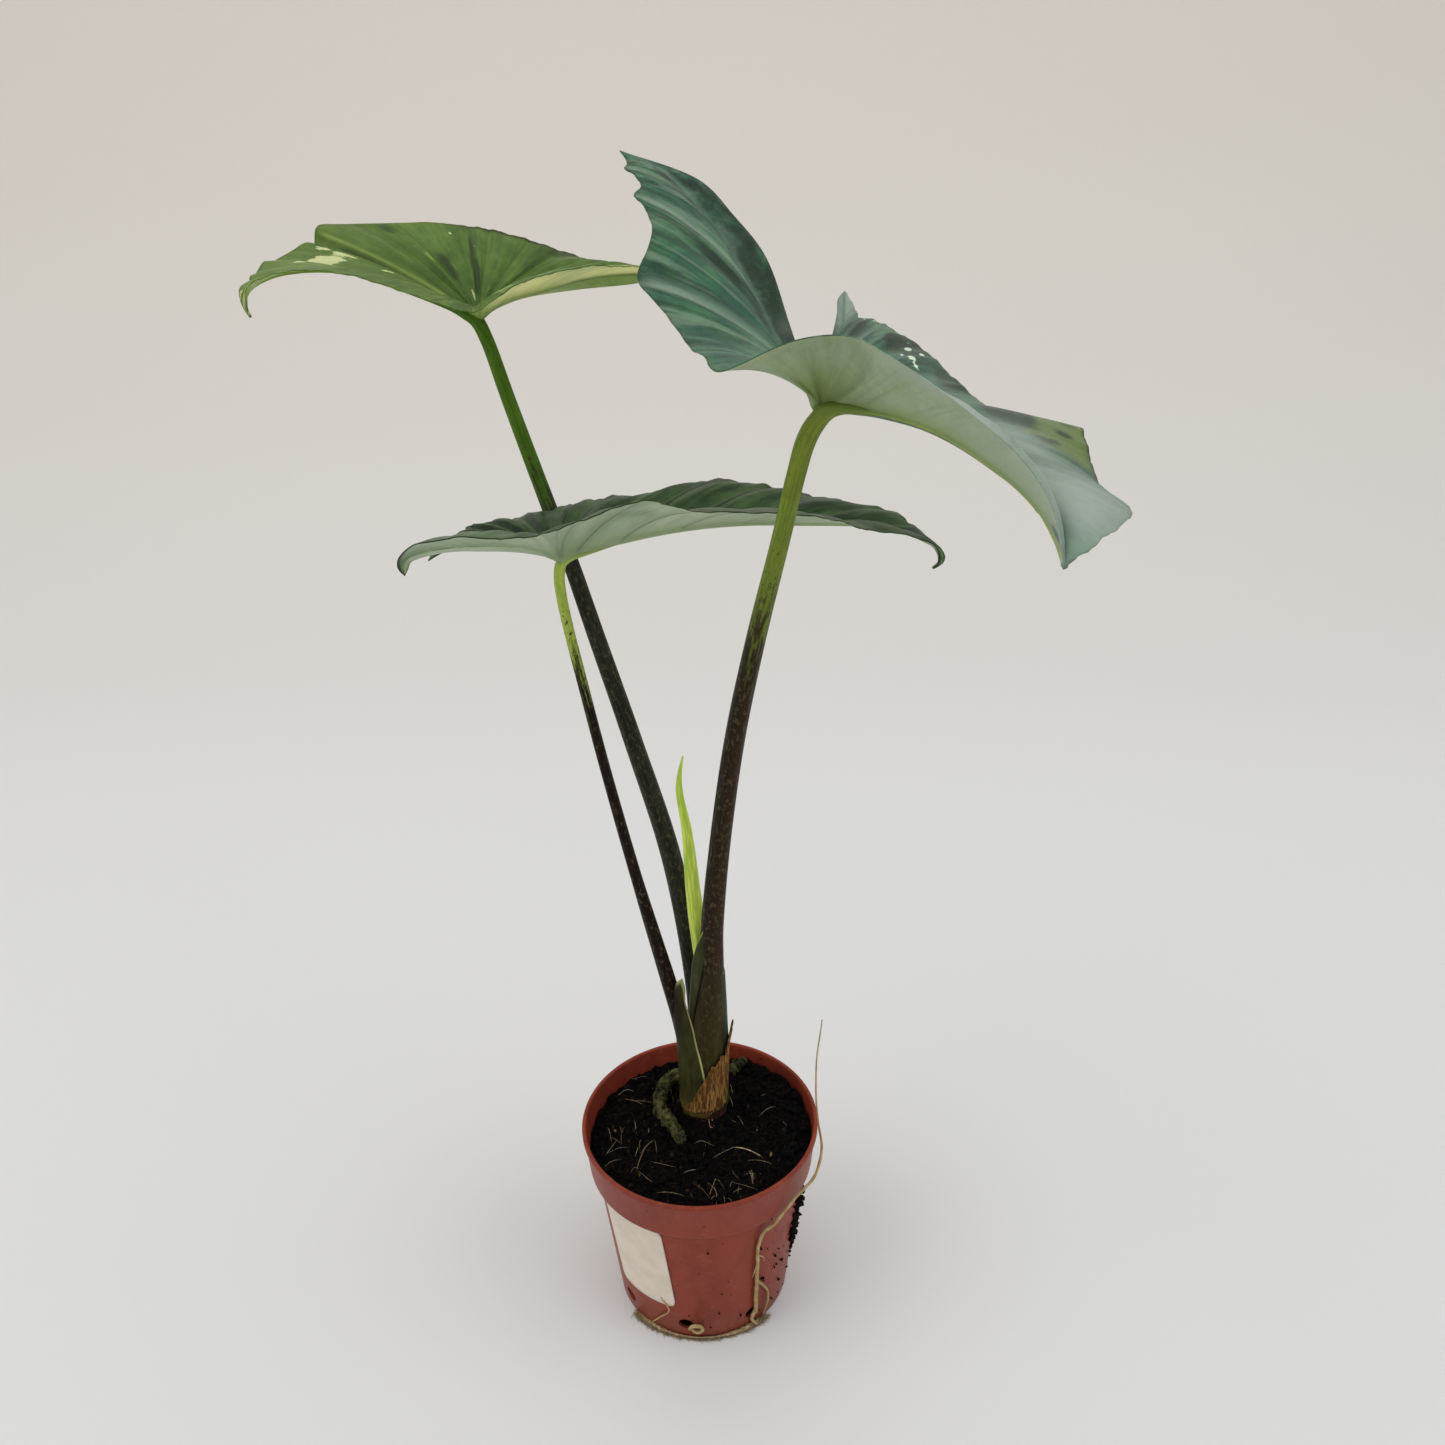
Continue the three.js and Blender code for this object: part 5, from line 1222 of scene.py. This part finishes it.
def sticker_sheet(columns, rows):
    """Sheet on the pot's wall with round corners: near a side the height shrinks at both ends by
    r - sqrt(r^2 - lack^2), and the whole leans by an angle that falls with the height."""
    t, v = np.meshgrid(np.linspace(0, 1, columns + 1), np.linspace(0, 1, rows + 1), indexing="ij")
    width = math.radians(STICKER_SPAN) * WALL_TOP_RADIUS
    lack = np.maximum(STICKER_CORNER - np.minimum(t, 1 - t) * width, 0)
    cut = STICKER_CORNER - np.sqrt(np.maximum(STICKER_CORNER**2 - lack**2, 0))
    z = STICKER_FOOT + cut + (STICKER_HEIGHT - 2 * cut) * v
    lean = STICKER_LEAN * (0.5 - (z - STICKER_FOOT) / STICKER_HEIGHT)
    points = on_wall(STICKER_START + STICKER_SPAN * t + lean, z, STICKER_OFF).reshape(-1, 3)
    half = np.full(len(points), STICKER_HALF)
    out, faces, _, _ = closed_sheet(points, grid_triangles(columns + 1, rows + 1), half, half)
    return out, faces[:, [0, 2, 1]]


class ALOCASIA_OT_pot(bpy.types.Operator):
    """Makes the nursery pot and its blank sticker"""

    bl_idname = "alocasia.pot"
    bl_label = "Pot and sticker"

    def execute(self, context):
        s = context.scene.alocasia_pot
        profile = np.array(POT_PROFILE, float)
        angle = np.linspace(0, 2 * np.pi, s.sides, endpoint=False)
        # A thin pot is never quite round: it is oval by 0.4 percent
        wobble = 1 + 0.004 * np.sin(2 * angle + 0.6)
        ring = np.stack([np.cos(angle) * wobble, np.sin(angle) * wobble], 1)
        inner = profile[1:-1]
        heights = np.broadcast_to(inner[:, None, 1:], (len(inner), s.sides, 1))
        points = np.concatenate([inner[:, None, :1] * ring[None], heights], -1).reshape(-1, 3)
        points = np.vstack([points, [[0, 0, profile[0, 1]]], [[0, 0, profile[-1, 1]]]])
        pot = make_object("nursery_pot", points, closed_rings(len(inner), s.sides))
        bars = [cutter(f"drain_{i}", 2 * math.pi * (i + 0.75) / DRAIN_HOLES) for i in range(DRAIN_HOLES)]
        for bar in bars:
            cut = pot.modifiers.new("drain", "BOOLEAN")
            cut.object, cut.operation, cut.solver = bar, "DIFFERENCE", "EXACT"
        graph = context.evaluated_depsgraph_get()
        cut_mesh = bpy.data.meshes.new_from_object(pot.evaluated_get(graph))
        pot.modifiers.clear()
        pot.data = cut_mesh
        cut_mesh.set_sharp_from_angle(angle=math.radians(50))
        for bar in bars:
            bpy.data.objects.remove(bar)
        dress(pot, plastic_skin("brick-red polypropylene", rgba(s.plastic[:])), "pot_plastic", "pot")

        sticker = make_object("blank_sticker", *sticker_sheet(64, 28))
        dress(sticker, sticker_skin("sticker film", rgba(s.sticker[:])), "label_film", "label")
        return {"FINISHED"}


def soil_height(x, y):
    """Height of the soil: lattice noise of five sizes, a slope up to the right, a mound at the stem and a clump
    behind it."""
    rough = 2.2 * lattice(x, y, 17, 1) + 1.7 * lattice(x, y, 7.3, 2) + 1.2 * lattice(x, y, 3.3, 3)
    rough = rough + 0.7 * lattice(x, y, 1.5, 4) + 0.35 * lattice(x, y, 0.8, 5)
    clump = 3.6 * np.exp(-(((x - 30) / 14) ** 2) - ((y - 24) / 12) ** 2)
    from_stem = np.hypot(x - STEM_X, y - STEM_Y)
    mound = 3.2 * smooth(20, 11.5, from_stem)
    calm = 1 - 0.6 * smooth(20, 12, from_stem)
    return SOIL_TOP - 0.4 + rough * calm + 0.03 * x + clump + mound


# A crumb is a ball of twenty faces with twelve corners, built on the golden ratio
ICO = (1 + 5**0.5) / 2
CRUMB_POINTS = unit(np.array([[-1, ICO, 0], [1, ICO, 0], [-1, -ICO, 0], [1, -ICO, 0], [0, -1, ICO], [0, 1, ICO],
                              [0, -1, -ICO], [0, 1, -ICO], [ICO, 0, -1], [ICO, 0, 1], [-ICO, 0, -1], [-ICO, 0, 1]]))
CRUMB_FACES = np.array([[0, 11, 5], [0, 5, 1], [0, 1, 7], [0, 7, 10], [0, 10, 11], [1, 5, 9], [5, 11, 4],
                        [11, 10, 2], [10, 7, 6], [7, 1, 8], [3, 9, 4], [3, 4, 2], [3, 2, 6], [3, 6, 8],
                        [3, 8, 9], [4, 9, 5], [2, 4, 11], [6, 2, 10], [8, 6, 7], [9, 8, 1]])


def crumbs(centres, sizes, seed):
    """Angular lumps: a twenty-faced ball at each centre, its corners pushed in and out at random and stretched."""
    rng = np.random.default_rng(seed)
    count = len(centres)
    stretch = rng.uniform(0.5, 1.35, (count, 1, 3))
    dents = rng.uniform(0.6, 1.25, (count, 12, 1))
    points = centres[:, None] + CRUMB_POINTS[None] * dents * stretch * sizes[:, None, None]
    faces = CRUMB_FACES[None] + 12 * np.arange(count)[:, None, None]
    return points.reshape(-1, 3), faces.reshape(-1, 3)


def fibres(starts, headings, lengths, rises, widths, seed, sides=4, steps=7):
    """Thin bent threads: from each start along its heading, curling sideways by a random share of the arc
    squared and rising by its own arch, each a tube of a few sides that tapers to its ends."""
    rng = np.random.default_rng(seed)
    count = len(starts)
    t = np.linspace(0, 1, steps + 1)[None, :, None]
    along = np.stack([np.cos(headings), np.sin(headings), np.zeros(count)], 1)[:, None]
    aside = np.stack([-np.sin(headings), np.cos(headings), np.zeros(count)], 1)[:, None]
    curl = rng.uniform(-0.3, 0.3, (count, 1, 1)) * lengths[:, None, None]
    wave = rng.uniform(0.4, 1.6, (count, 1, 1))
    line = starts[:, None] + along * t * lengths[:, None, None] + aside * curl * t**2
    line = line + np.array([0, 0, 1.0]) * (rises[:, None, None] * np.sin(np.pi * t * wave))
    tangent = unit(np.gradient(line, axis=1))
    side = unit(np.cross(tangent, np.array([0.1, 0.2, 1.0])))
    up = np.cross(side, tangent)
    taper = (1 - 0.75 * np.abs(2 * t - 1) ** 3) * widths[:, None, None]
    angle = 2 * np.pi * np.arange(sides) / sides
    ring = side[:, :, None] * np.cos(angle)[:, None] + up[:, :, None] * np.sin(angle)[:, None]
    points = (line[:, :, None] + ring * taper[..., None]).reshape(count, -1, 3)
    wall = grid_triangles(steps + 1, sides, True)[:, [0, 2, 1]]
    fan = np.stack([np.zeros(sides - 2, int), np.arange(1, sides - 1), np.arange(2, sides)], 1)
    one = np.concatenate([wall, fan, fan[:, [0, 2, 1]] + steps * sides])
    faces = one[None] + (steps + 1) * sides * np.arange(count)[:, None, None]
    return points.reshape(-1, 3), faces.reshape(-1, 3)


def scattered(rng, count, reach):
    """Random places on a disc, evenly spread and clear of the stem: the radius is reach times the square root of
    an even share."""
    r = reach * np.sqrt(rng.uniform(0, 1, count))
    a = rng.uniform(0, 2 * np.pi, count)
    x, y = r * np.cos(a), r * np.sin(a)
    clear = np.hypot(x - STEM_X, y - STEM_Y) > STEM_CLEARANCE
    return x[clear], y[clear]


class ALOCASIA_OT_soil(bpy.types.Operator):
    """Makes the soil with its crumbs, chips and fibres"""

    bl_idname = "alocasia.soil"
    bl_label = "Soil"

    def execute(self, context):
        s = context.scene.alocasia_soil
        rng = np.random.default_rng(11)

        # The ground: rings of points at the soil's height, drawn in where they would pass the pot's inner wall,
        # and a skirt down to a flat underside
        rings, sides, edge, underside = 130, 320, 56.2, 88.0
        radius = edge * np.linspace(0, 1, rings + 1)[1:] ** 0.9
        angle = np.linspace(0, 2 * np.pi, sides, endpoint=False)
        x, y = radius[:, None] * np.cos(angle), radius[:, None] * np.sin(angle)
        z = np.minimum(soil_height(x, y), POT_HEIGHT - 2.5)
        limit = COLLAR_FOOT_RADIUS - WALL - 0.5 + (z - COLLAR_FOOT) * COLLAR_SLOPE
        scale = np.minimum(1, limit / np.hypot(x, y))
        top = np.stack([x * scale, y * scale, z], -1)
        skirt = top[-1:] * np.array([0.985, 0.985, 0]) + np.array([0, 0, underside])
        points = np.vstack([top.reshape(-1, 3), skirt.reshape(-1, 3),
                            [[0, 0, float(soil_height(0.0, 0.0))]], [[0, 0, underside]]])
        ground = make_object("soil_surface", points, closed_rings(rings + 1, sides)[:, [0, 2, 1]])
        peat = grit_skin("damp peat", rgba(s.soil[:]), "060505", "241a14", 2.6, 1.0)
        dress(ground, peat, "soil", "soil")

        # Crumbs of 0.3 to 2.4 mm, mostly small and none of them up on the rim; one in eight is rusty bark
        x, y = scattered(rng, s.crumbs, 54.5)
        sizes = 0.3 + 2.1 * rng.uniform(0, 1, len(x)) ** 3.2
        centres = np.stack([x, y, np.minimum(soil_height(x, y), 107.2) + 0.3 * sizes], 1)
        rusty = rng.uniform(0, 1, len(x)) < 0.12
        for name, chosen, skin in (
                ("soil_crumbs", ~rusty, grit_skin("peat crumbs", "110d0b", "070606", "33261c", 1.8, 0.7)),
                ("bark_crumbs", rusty, grit_skin("bark crumbs", "3a2a1f", "241912", "5f4a34", 1.6, 0.5))):
            lumps = crumbs(centres[chosen], sizes[chosen] * (0.7 if name == "bark_crumbs" else 1), 5)
            dress(make_object(name, *lumps, flat=True), skin, "soil")

        # Five pale chips lie at places listed one by one: across, deep and radius
        chips = np.array([(35.5, -22, 1.5), (43, -14, 1.2), (26, -33, 0.9), (-30, -30, 0.9), (-44, 2, 0.8)])
        chip_z = soil_height(chips[:, 0], chips[:, 1]) + 0.6
        lumps = crumbs(np.stack([chips[:, 0], chips[:, 1], chip_z], 1), chips[:, 2], 29)
        dress(make_object("pale_chips", *lumps, flat=True),
              grit_skin("pale chips", "a08a4e", "7b6a3a", "c9b57c", 1.4, 0.4), "soil")

        # Dark fibres that end inside the pot; real ones are thinner than 0.1 mm, too fine to show
        x, y = scattered(rng, s.fibres, 50)
        count = len(x)
        lengths, heading = rng.uniform(3, 12, count), rng.uniform(0, 2 * np.pi, count)
        start = np.stack([x, y, soil_height(x, y) + 0.5], 1)
        end = np.hypot(x + lengths * np.cos(heading), y + lengths * np.sin(heading)) < 53
        threads = fibres(start[end], heading[end], lengths[end], rng.uniform(0.2, 2.4, end.sum()),
                         rng.uniform(0.08, 0.2, end.sum()), 7)
        dress(make_object("dark_fibres", *threads),
              grit_skin("dark fibre", "2a1d15", "120d0b", "4a3422", 2.0, 0.2), "soil")

        # Pale fibres all round, a tuft of them in front and three that are placed one by one, of which the last
        # two hang from the stem's foot
        front = 12
        x, y = scattered(rng, 62, 50)
        x = np.concatenate([x, rng.normal(14, 7, front), [16.0, 4.5, 6.0]])
        y = np.concatenate([y, rng.normal(-44, 3, front), [-14.0, 2.6, 2.9]])
        count = len(x)
        lengths = np.concatenate([rng.uniform(3, 17, count - 3), [19.0, 8.0, 6.0]])
        heading = np.concatenate([rng.uniform(0, 2 * np.pi, count - 3), [-0.2, -1.45, -1.2]])
        start = np.stack([x, y, soil_height(x, y) + 1.2], 1)
        start[-2:, 2] = 106.5
        rise = np.concatenate([rng.uniform(0.4, 2.6, count - 3), [0.8, -2.0, -2.5]])
        widths = np.concatenate([rng.uniform(0.05, 0.12, count - 3), [0.35, 0.24, 0.18]])
        end = np.hypot(x + lengths * np.cos(heading), y + lengths * np.sin(heading)) < 54
        threads = fibres(start[end], heading[end], lengths[end], rise[end], widths[end], 8)
        dress(make_object("pale_fibres", *threads),
              grit_skin("pale fibre", rgba(s.fibre[:]), "a58c66", "e2d5b6", 3.0, 0.2), "soil")
        return {"FINISHED"}


def on_wall(angle, z, off):
    """Points on the pot's outer wall at angles in degrees, heights and distances off it."""
    turn = np.radians(angle)
    radius = pot_radius(z) + off
    return np.stack([radius * np.cos(turn), radius * np.sin(turn), np.asarray(z, float) + 0 * turn], -1)


def wall_path(rows):
    """Path on the pot's wall, from rows of angle, height and distance off it."""
    return on_wall(*np.array(rows, float).T)


class ALOCASIA_OT_roots(bpy.types.Operator):
    """Makes the mossy roots, the root on the pot's wall, the felt at its foot and the clinging soil"""

    bl_idname = "alocasia.roots"
    bl_label = "Roots and moss"

    def execute(self, context):
        s = context.scene.alocasia_soil
        rng = np.random.default_rng(23)

        # Mossy roots: their tufts are drawn thicker than real ones of 0.1 mm, so that they show
        def knobs(t, a):
            """Knobs of 3.1, 1.4 and 0.7 mm, by smooth random heights."""
            return (0.3 * lattice(3 * np.cos(a) + 50 * t, 3 * np.sin(a) - 20 * t, 3.1, 41)
                    + 0.22 * lattice(3 * np.cos(a) - 30 * t, 3 * np.sin(a) + 60 * t, 1.4, 42)
                    + 0.1 * lattice(3 * np.cos(a) + 60 * t, 3 * np.sin(a) + 60 * t, 0.7, 43))

        moss = grit_skin("moss", rgba(s.moss[:]), "66633a", "8c8757", 5.0, 0.9)
        tips = grit_skin("moss tips", "6e6b3d", "3a381f", "b9b187", 5.0, 0.3)
        for name, stem, node, rings in (("mossy_root_fine", MOSSY_ROOT, "mossy_root", 260),
                                        ("mossy_nub_fine", MOSSY_NUB, "mossy_nub", 90)):
            dress(make_stem(name, stem, rings, 48, knobs), moss, "moss", node)
        line = by_length(curve(MOSSY_ROOT["path"]))(rng.uniform(0.08, 0.93, TUFTS))
        turn = rng.uniform(0, 2 * np.pi, TUFTS)
        start = line + np.stack([np.cos(turn) * 2.3, np.sin(turn) * 2.3, rng.uniform(-0.5, 2.6, TUFTS)], 1)
        tufts = fibres(start, turn, rng.uniform(0.6, 1.5, TUFTS), rng.uniform(0.1, 0.8, TUFTS),
                       rng.uniform(0.08, 0.16, TUFTS), 3, 3, 3)
        dress(make_object("moss_tufts", *tufts), tips, "moss")

        # Root on the wall: rows of angle, height and distance off the wall. Its side roots have their radii and
        # rings too, and the last of them is a loop
        def lumpy(t, a):
            """Slight swellings along a root: two sines."""
            return 0.09 * np.sin(61 * t + a) + 0.06 * np.sin(140 * t - 2 * a)

        root = grit_skin("tan root", rgba(s.root[:]), "a98c60", "dcc79c", 4.0, 0.3)
        widths = np.interp(np.linspace(0, 1, len(CLIMBING_ROOT)), np.linspace(0, 1, len(CLIMBING_ROOT_RADII)),
                           CLIMBING_ROOT_RADII)
        rows = np.array(CLIMBING_ROOT, float)
        path = on_wall(rows[:, 0], rows[:, 1], rows[:, 2] + widths + 0.4)
        main = tube(path, CLIMBING_ROOT_RADII, 240, 12, lumpy)
        branches = [
            ([(-55.5, 38, 1), (-50, 30, 1.2), (-45.5, 22, 1), (-45, 12, 1.2), (-48, 6, 1.5)], [0.8, 0.7, 0.6, 0.4],
             30),
            ([(-56.5, 55, 1.2), (-59, 50, 2), (-60, 44, 1.6)], [0.4, 0.3, 0.15], 30),
            ([(-57.5, 60, 1.2), (-54, 57, 2), (-52.5, 52, 1.4)], [0.4, 0.3, 0.15], 30),
            ([(-116, 30, 0.8), (-111, 22, 1.4), (-119, 12, 1.2), (-125, 5, 1.5)], [0.35, 0.4, 0.4, 0.3], 30),
            ([(-55, 13, 0.8), (-57, 7, 1), (-54, 2.5, 2.5)], [1.1, 0.9, 0.7], 30),
            ([(-99, 9, 1.2), (-96, 13.5, 2.4), (-92, 13.5, 2.4), (-90.5, 9.5, 1.8), (-94, 7.5, 2),
              (-97.5, 9.5, 1.4)], [0.7, 1, 1, 0.9, 0.7], 40),
        ]
        parts = [main] + [tube(wall_path(points), radii, rings, 8) for points, radii, rings in branches]
        dress(make_object("climbing_root", *joined(parts)[:2]), root, "dry_root", "outside_root")

        # Felt round the pot's foot, thick at both ends of its arc: hairs that are drawn up to 0.3 mm thick, so that
        # they show, none of them inside the wall or the floor, on a ropy core
        turn = rng.uniform(*FELT_ARC, HAIRS)
        thick = 0.2 + 0.8 * smooth(10, 46, np.abs(turn + 94))
        turn = np.radians(turn)
        radius = 44.8 + rng.uniform(0.2, 2.3, HAIRS) * thick
        z = 0.3 + rng.uniform(0, 1, HAIRS) ** 2 * 2.6 * thick
        start = np.stack([radius * np.cos(turn), radius * np.sin(turn), z], 1)
        heading = turn + np.pi / 2 + rng.normal(0, 0.35, HAIRS)
        lengths = rng.uniform(1.5, 5, HAIRS)
        felt, faces = fibres(start, heading, lengths, rng.uniform(-0.2, 0.7, HAIRS), rng.uniform(0.06, 0.15, HAIRS),
                             9, 3, 5)
        felt[:, 2] = np.maximum(felt[:, 2], 0.15)
        far = np.hypot(felt[:, 0], felt[:, 1])
        felt[:, :2] *= np.where(far < 45, 45 / np.maximum(far, 1), 1)[:, None]

        def ropy(t, a):
            """Strands that wind round the core: two sines."""
            return 0.18 * np.sin(150 * t + 2 * a) + 0.12 * np.sin(330 * t - a)

        angle = np.radians(np.linspace(*FELT_ARC, 40))
        core_path = np.stack([45.6 * np.cos(angle), 45.6 * np.sin(angle), np.full(40, 1.75)], 1)
        core = tube(core_path, [0.3, 1.1, 0.9, 0.5, 0.35, 0.4, 0.9, 1.3, 0.4], 160, 12, ropy)
        dress(make_object("root_felt", *joined([(felt, faces), core[:2]])),
              grit_skin("root felt", "cdb48c", "a98d66", "e6d6b4", 2.2, 0.6), "dry_root", "root_mat")

        # Soil that clings to the wall: scattered grains, a clump of grains and some small ones below it
        turn = rng.uniform(-118, 8, GRAINS)
        turn = np.where(rng.uniform(0, 1, GRAINS) < 0.6, rng.uniform(-60, 5, GRAINS), turn)
        z = rng.uniform(4, 84, GRAINS)
        sizes = 0.18 + 0.8 * rng.uniform(0, 1, GRAINS) ** 4
        specks = on_wall(turn, z, sizes * 0.3)
        clump_z = rng.uniform(42, 76, CLUMP_GRAINS)
        clump_turn = -17 + rng.normal(0, 3.4, CLUMP_GRAINS)
        clump_size = rng.uniform(0.6, 2.3, CLUMP_GRAINS)
        clump = on_wall(clump_turn, clump_z, clump_size * 0.4)
        small_z = rng.uniform(27, 38, SMALL_GRAINS)
        small = on_wall(-14 + rng.normal(0, 2, SMALL_GRAINS), small_z, 0.4)
        sizes = np.concatenate([sizes, clump_size, np.ones(SMALL_GRAINS)])
        lumps = crumbs(np.vstack([specks, clump, small]), sizes, 17)
        dress(make_object("clinging_soil", *lumps, flat=True),
              grit_skin("clinging peat", "1a1210", "0e0a09", "3a281e", 1.8, 0.5), "soil")
        return {"FINISHED"}


def area_lamp(name, place, target, size, watts, colour):
    """Square soft lamp that faces a target."""
    lamp = bpy.data.lights.new(name, "AREA")
    lamp.shape, lamp.size, lamp.energy, lamp.color = "SQUARE", size, watts, colour
    made = bpy.data.objects.new(name, lamp)
    made.location = place
    made.rotation_euler = (Vector(target) - Vector(place)).to_track_quat("-Z", "Y").to_euler()
    bpy.context.scene.collection.objects.link(made)


class ALOCASIA_OT_stage(bpy.types.Operator):
    """Sets up the pale floor, the soft light and the camera"""

    bl_idname = "alocasia.stage"
    bl_label = "Studio"

    def execute(self, context):
        s = context.scene.alocasia_stage

        # A floor that bends up into a wall, from its section in millimetres as depth and height
        bend = np.linspace(0, math.pi / 2, 24)
        profile = np.vstack([[[-2500, 0]], np.stack([700 + 900 * np.sin(bend), 900 - 900 * np.cos(bend)], 1),
                             [[1600, 3200]]])
        rows, columns = len(profile), 9
        grid = np.empty((rows, columns, 3))
        grid[..., 0] = np.linspace(-3200, 3200, columns)
        grid[..., 1:] = profile[:, None]
        floor = make_object("studio_floor", grid.reshape(-1, 3), grid_triangles(rows, columns)[:, [1, 2, 0]])
        floor.data.materials.append(floor_skin("studio floor", rgba(s.floor[:]), rgba(s.wall[:])))

        world = bpy.data.worlds.new("studio light")
        context.scene.world = world
        world.use_nodes = True
        world.node_tree.nodes["Background"].inputs["Color"].default_value = (0.93, 0.96, 1.0, 1)
        world.node_tree.nodes["Background"].inputs["Strength"].default_value = s.sky
        area_lamp("key_left", (-1.3, -0.5, 1.9), (0, 0, 0.25), 1.5, s.light, (1.0, 0.98, 0.95))
        area_lamp("key_right", (1.4, -0.5, 1.8), (0, 0, 0.25), 1.7, s.light * 0.8, (0.94, 0.97, 1.0))
        area_lamp("top", (0.0, 0.3, 2.2), (0, 0, 0.2), 1.6, s.light * 0.6, (1.0, 1.0, 1.0))

        # The camera stands where the photo was taken: metres, degrees down and degrees of roll. The photo is 1445
        # pixels wide, and its focal length is 1400 pixels
        place, pitch, roll = (0.0145, -0.537, 0.624), math.radians(28.0), math.radians(-0.85)
        lens = bpy.data.cameras.new("camera")
        lens.sensor_width, lens.lens = 36.0, 36.0 * 1400 / 1445
        lens.clip_start, lens.clip_end = 0.01, 20.0
        camera = bpy.data.objects.new("camera", lens)
        ahead = Vector((0, math.cos(pitch), -math.sin(pitch)))
        up0, right0 = Vector((0, math.sin(pitch), math.cos(pitch))), Vector((1, 0, 0))
        right = right0 * math.cos(roll) + up0 * math.sin(roll)
        up = up0 * math.cos(roll) - right0 * math.sin(roll)
        turn = Matrix((right, up, -ahead)).transposed()
        camera.matrix_world = Matrix.Translation(place) @ turn.to_4x4()
        context.scene.collection.objects.link(camera)
        context.scene.camera = camera
        context.scene.view_settings.view_transform = "Standard"
        return {"FINISHED"}


class ALOCASIA_PT_panel(bpy.types.Panel):
    """Buttons and settings for the alocasia"""

    bl_label = "Alocasia"
    bl_space_type = "VIEW_3D"
    bl_region_type = "UI"
    bl_category = "Alocasia"

    def draw(self, context):
        for name in ("blades", "stalks", "pot", "soil", "roots", "stage"):
            self.layout.operator("alocasia." + name)
        for group in GROUPS:
            box = self.layout.box()
            settings = getattr(context.scene, group)
            for key in settings.__annotations__:
                box.prop(settings, key)


GROUPS = {"alocasia_leaf": LeafSettings, "alocasia_stalk": StalkSettings, "alocasia_pot": PotSettings,
          "alocasia_soil": SoilSettings, "alocasia_stage": StageSettings}
OPERATORS = (ALOCASIA_OT_stage, ALOCASIA_OT_blades, ALOCASIA_OT_stalks, ALOCASIA_OT_pot, ALOCASIA_OT_soil,
             ALOCASIA_OT_roots)


def register():
    """Adds the add-on's classes and its settings."""
    for made in (*GROUPS.values(), *OPERATORS, ALOCASIA_PT_panel):
        bpy.utils.register_class(made)
    for key, group in GROUPS.items():
        setattr(bpy.types.Scene, key, PointerProperty(type=group))


def unregister():
    """Takes the settings and the classes away again."""
    for key in GROUPS:
        delattr(bpy.types.Scene, key)
    for made in reversed((*GROUPS.values(), *OPERATORS, ALOCASIA_PT_panel)):
        bpy.utils.unregister_class(made)


def main():
    """Makes everything in order."""
    register()
    bpy.ops.alocasia.stage()
    bpy.ops.alocasia.blades()
    bpy.ops.alocasia.stalks()
    bpy.ops.alocasia.pot()
    bpy.ops.alocasia.soil()
    bpy.ops.alocasia.roots()
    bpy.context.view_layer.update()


if __name__ == "__main__":
    main()
